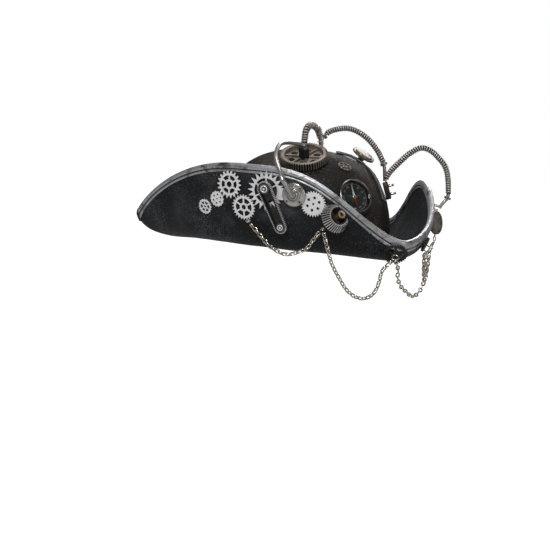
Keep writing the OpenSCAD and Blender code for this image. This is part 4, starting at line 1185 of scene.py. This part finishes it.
# ---- compass ----
compass = {"radius": 0.0185, "deep": 0.006, "dial": 0.0016, "face": 0.0169, "needleLong": 0.0135,
           "needleWide": 0.0026, "needleLevel": 0.0026, "needleThick": 0.0004, "needleTurn": 8, "ticks": 72}


def compassMatrix():
    return seatMatrix(*roundSeat("compass_case"))


def compassPiece(obj, name, finish, instead=(), body="hat", angle=30):
    obj.matrix_world = compassMatrix() @ obj.matrix_world
    smooth(obj, angle)
    return settle(obj, name, finishes[finish], body, instead)


def makeBezel():
    r, d = compass["radius"], compass["deep"]
    ring = turnedRing([(r - 0.0018, d), (r - 0.0003, d), (r, d + 0.0003), (r, d + 0.0006),
                       (r - 0.0004, d + 0.0009),
                       (r - 0.0005, d + 0.0012), (r - 0.0009, d + 0.0014), (r - 0.0013, d + 0.0013),
                       (r - 0.0015, d + 0.0009), (r - 0.0018, d + 0.0008)], 72)
    compassPiece(ring, "compassBezelTurned", "gunmetal", ["compass_bezel"])


def makeDial():
    r, top = compass["face"], compass["dial"]
    plate = turnedRing([(0.00002, top - 0.0006), (r, top - 0.0006), (r, top + 0.0006), (r - 0.0005, top + 0.0006),
                        (r - 0.0009, top), (r * 0.62, top), (r * 0.61, top - 0.00012), (r * 0.59, top - 0.00012),
                        (r * 0.58, top), (r * 0.2, top), (r * 0.19, top + 0.0001), (0.00002, top + 0.0001)], 72)
    compassPiece(plate, "compassDialPlate", "dialFace", ["compass_dial"])
    marks = []
    for k in range(compass["ticks"]):
        long = k % 6 == 0
        bpy.ops.object.select_all(action="DESELECT")
        bpy.ops.mesh.primitive_cube_add(size=1)
        mark = bpy.context.object
        mark.scale = (0.0004 if long else 0.0002, 0.0022 if long else 0.0012, 0.00016)
        mark.location = (0, r * 0.86, top + 0.00006)
        bpy.ops.object.transform_apply(location=True, rotation=True, scale=True)
        mark.matrix_world = Matrix.Rotation(-2 * math.pi * k / compass["ticks"], 4, "Z")
        bpy.ops.object.transform_apply(location=True, rotation=True, scale=True)
        marks.append(mark)
    for k in range(12):
        bpy.ops.object.select_all(action="DESELECT")
        bpy.ops.object.text_add()
        figure = bpy.context.object
        figure.data.body = str(k * 30)
        figure.data.size = 0.0021
        figure.data.align_x = "CENTER"
        figure.data.align_y = "CENTER"
        figure.data.extrude = 0.00007
        a = -2 * math.pi * k / 12
        figure.matrix_world = Matrix.Rotation(a, 4, "Z") @ Matrix.Translation((0, r * 0.7, top + 0.0001))
        bpy.ops.object.convert(target="MESH")
        figure = bpy.context.object
        bpy.ops.object.transform_apply(location=True, rotation=True, scale=True)
        marks.append(figure)
    compassPiece(joined(marks, "compassMarks"), "compassDialMarks", "dialMark")
    # green darts to both sides and below
    darts = []
    for turn, reach in ((78, 0.0075), (-72, 0.0075), (158, 0.006)):
        bpy.ops.object.select_all(action="DESELECT")
        bpy.ops.mesh.primitive_cone_add(vertices=4, radius1=0.0021, radius2=0, depth=reach)
        dart = bpy.context.object
        dart.rotation_euler = (-math.pi / 2, 0, 0)
        dart.scale = (1, 1, 1)
        bpy.ops.object.transform_apply(location=True, rotation=True, scale=True)
        dart.scale = (1, 1, 0.1)
        dart.location = (0, reach / 2 + 0.0015, top + 0.00012)
        bpy.ops.object.transform_apply(location=True, rotation=True, scale=True)
        dart.matrix_world = Matrix.Rotation(math.radians(turn), 4, "Z")
        bpy.ops.object.transform_apply(location=True, rotation=True, scale=True)
        darts.append(dart)
    compassPiece(joined(darts, "compassDarts"), "compassDarts", "dialGreen")


def needleHalf(sign, name, finish, instead=()):
    bpy.ops.object.select_all(action="DESELECT")
    bpy.ops.mesh.primitive_cube_add(size=1)
    half = bpy.context.object
    long, wide, thick = compass["needleLong"], compass["needleWide"] / 2, compass["needleThick"]
    for vertex in half.data.vertices:
        far = vertex.co.y > 0
        vertex.co = ((0.06 if far else 1) * wide * (1 if vertex.co.x > 0 else -1),
                     sign * (long if far else 0.0009), compass["needleLevel"] + (thick if vertex.co.z > 0 else 0))
    editAll(half, faceOut)
    applyModifier(half, "BEVEL", width=0.00012, segments=2)
    half.matrix_world = Matrix.Rotation(math.radians(compass["needleTurn"]), 4, "Z")
    only(half)
    bpy.ops.object.transform_apply(location=True, rotation=True, scale=True)
    compassPiece(half, name, finish, instead, "needle")


def makeNeedle():
    needleHalf(1, "compassNeedleWhite", "needleWhite", ["compass_needle"])
    needleHalf(-1, "compassNeedleRed", "needleRed")
    level = compass["needleLevel"]
    boss = turnedRing([(0.00078, level - 0.0001), (0.0017, level - 0.0001), (0.0017, level + 0.0005),
                       (0.0013, level + 0.0008), (0.00078, level + 0.0008)], 32)
    compassPiece(boss, "compassNeedleBoss", "brassBrown", (), "needle")


def makeCap():
    r, d = compass["face"] - 0.0002, compass["deep"]
    cap = turnedRing([(0.00002, d - 0.0009), (r, d - 0.0012), (r, d), (r * 0.92, d + 0.0005),
                      (r * 0.8, d + 0.0008), (r * 0.6, d + 0.0011), (r * 0.3, d + 0.0013),
                      (0.00002, d + 0.00135)], 64)
    compassPiece(cap, "compassClearCap", "clearCap", ["compass_glass"], angle=40)


makeBezel()
makeDial()
makeNeedle()
makeCap()
print("compass made")

# ---- floor and studio light ----
studio = {"floorLevel": -0.30, "floorSize": 14, "roomLight": 0.36, "mirrorDim": 0.2, "backdrop": 1.25}


def makeFloor():
    bpy.ops.object.select_all(action="DESELECT")
    bpy.ops.mesh.primitive_circle_add(vertices=96, radius=studio["floorSize"], fill_type="NGON",
                                      location=(0, 0, studio["floorLevel"]))
    floor = bpy.context.object
    floor.name = "paleFloor"
    material, tree, shader, spot = startMaterial("paleFloor")
    tone = noiseNode(tree, spot.outputs["Object"], 0.8, 2.0)
    tree.links.new(mixColour(tree, tone, (0.40, 0.40, 0.40), (0.44, 0.44, 0.44)), shader.inputs["Base Color"])
    shader.inputs["Roughness"].default_value = 0.9
    shader.inputs["Emission Color"].default_value = (1, 1, 1, 1)
    rays = addNode(tree, "ShaderNodeLightPath")
    tree.links.new(rays.outputs["Is Camera Ray"], shader.inputs["Emission Strength"])
    floor.data.materials.append(material)


def addLight(name, place, size, power, shade=(1, 1, 1)):
    bpy.ops.object.light_add(type="AREA", location=place)
    lamp = bpy.context.object
    lamp.name = name
    lamp.rotation_euler = Vector(place).to_track_quat("Z", "Y").to_euler()
    lamp.data.size = size
    lamp.data.energy = power
    lamp.data.color = shade


def lightStudio():
    world = bpy.data.worlds.new("paleStudio")
    bpy.context.scene.world = world
    world.use_nodes = True
    tree = world.node_tree
    back = tree.nodes["Background"]
    back.inputs["Color"].default_value = (1, 1, 1, 1)
    white = addNode(tree, "ShaderNodeBackground")
    white.inputs["Strength"].default_value = studio["backdrop"]
    rays = addNode(tree, "ShaderNodeLightPath")
    dimmed = mathNode(tree, "MULTIPLY", rays.outputs["Is Glossy Ray"], studio["mirrorDim"])
    tree.links.new(mathNode(tree, "SUBTRACT", studio["roomLight"], dimmed), back.inputs["Strength"])
    mixed = addNode(tree, "ShaderNodeMixShader")
    tree.links.new(rays.outputs["Is Camera Ray"], mixed.inputs[0])
    tree.links.new(back.outputs[0], mixed.inputs[1])
    tree.links.new(white.outputs[0], mixed.inputs[2])
    tree.links.new(mixed.outputs[0], tree.nodes["World Output"].inputs[0])
    addLight("keySoftbox", (-1.5, -1.1, 1.3), 0.7, 22)
    addLight("frontFill", (0.3, -1.9, 0.5), 1.0, 4)
    addLight("topSoftbox", (0.2, 0.2, 1.9), 1.0, 12)
    addLight("rearRim", (1.3, 1.2, 0.9), 0.8, 10)
    bpy.context.scene.view_settings.view_transform = "Standard"


makeFloor()
lightStudio()
print("studio lit")
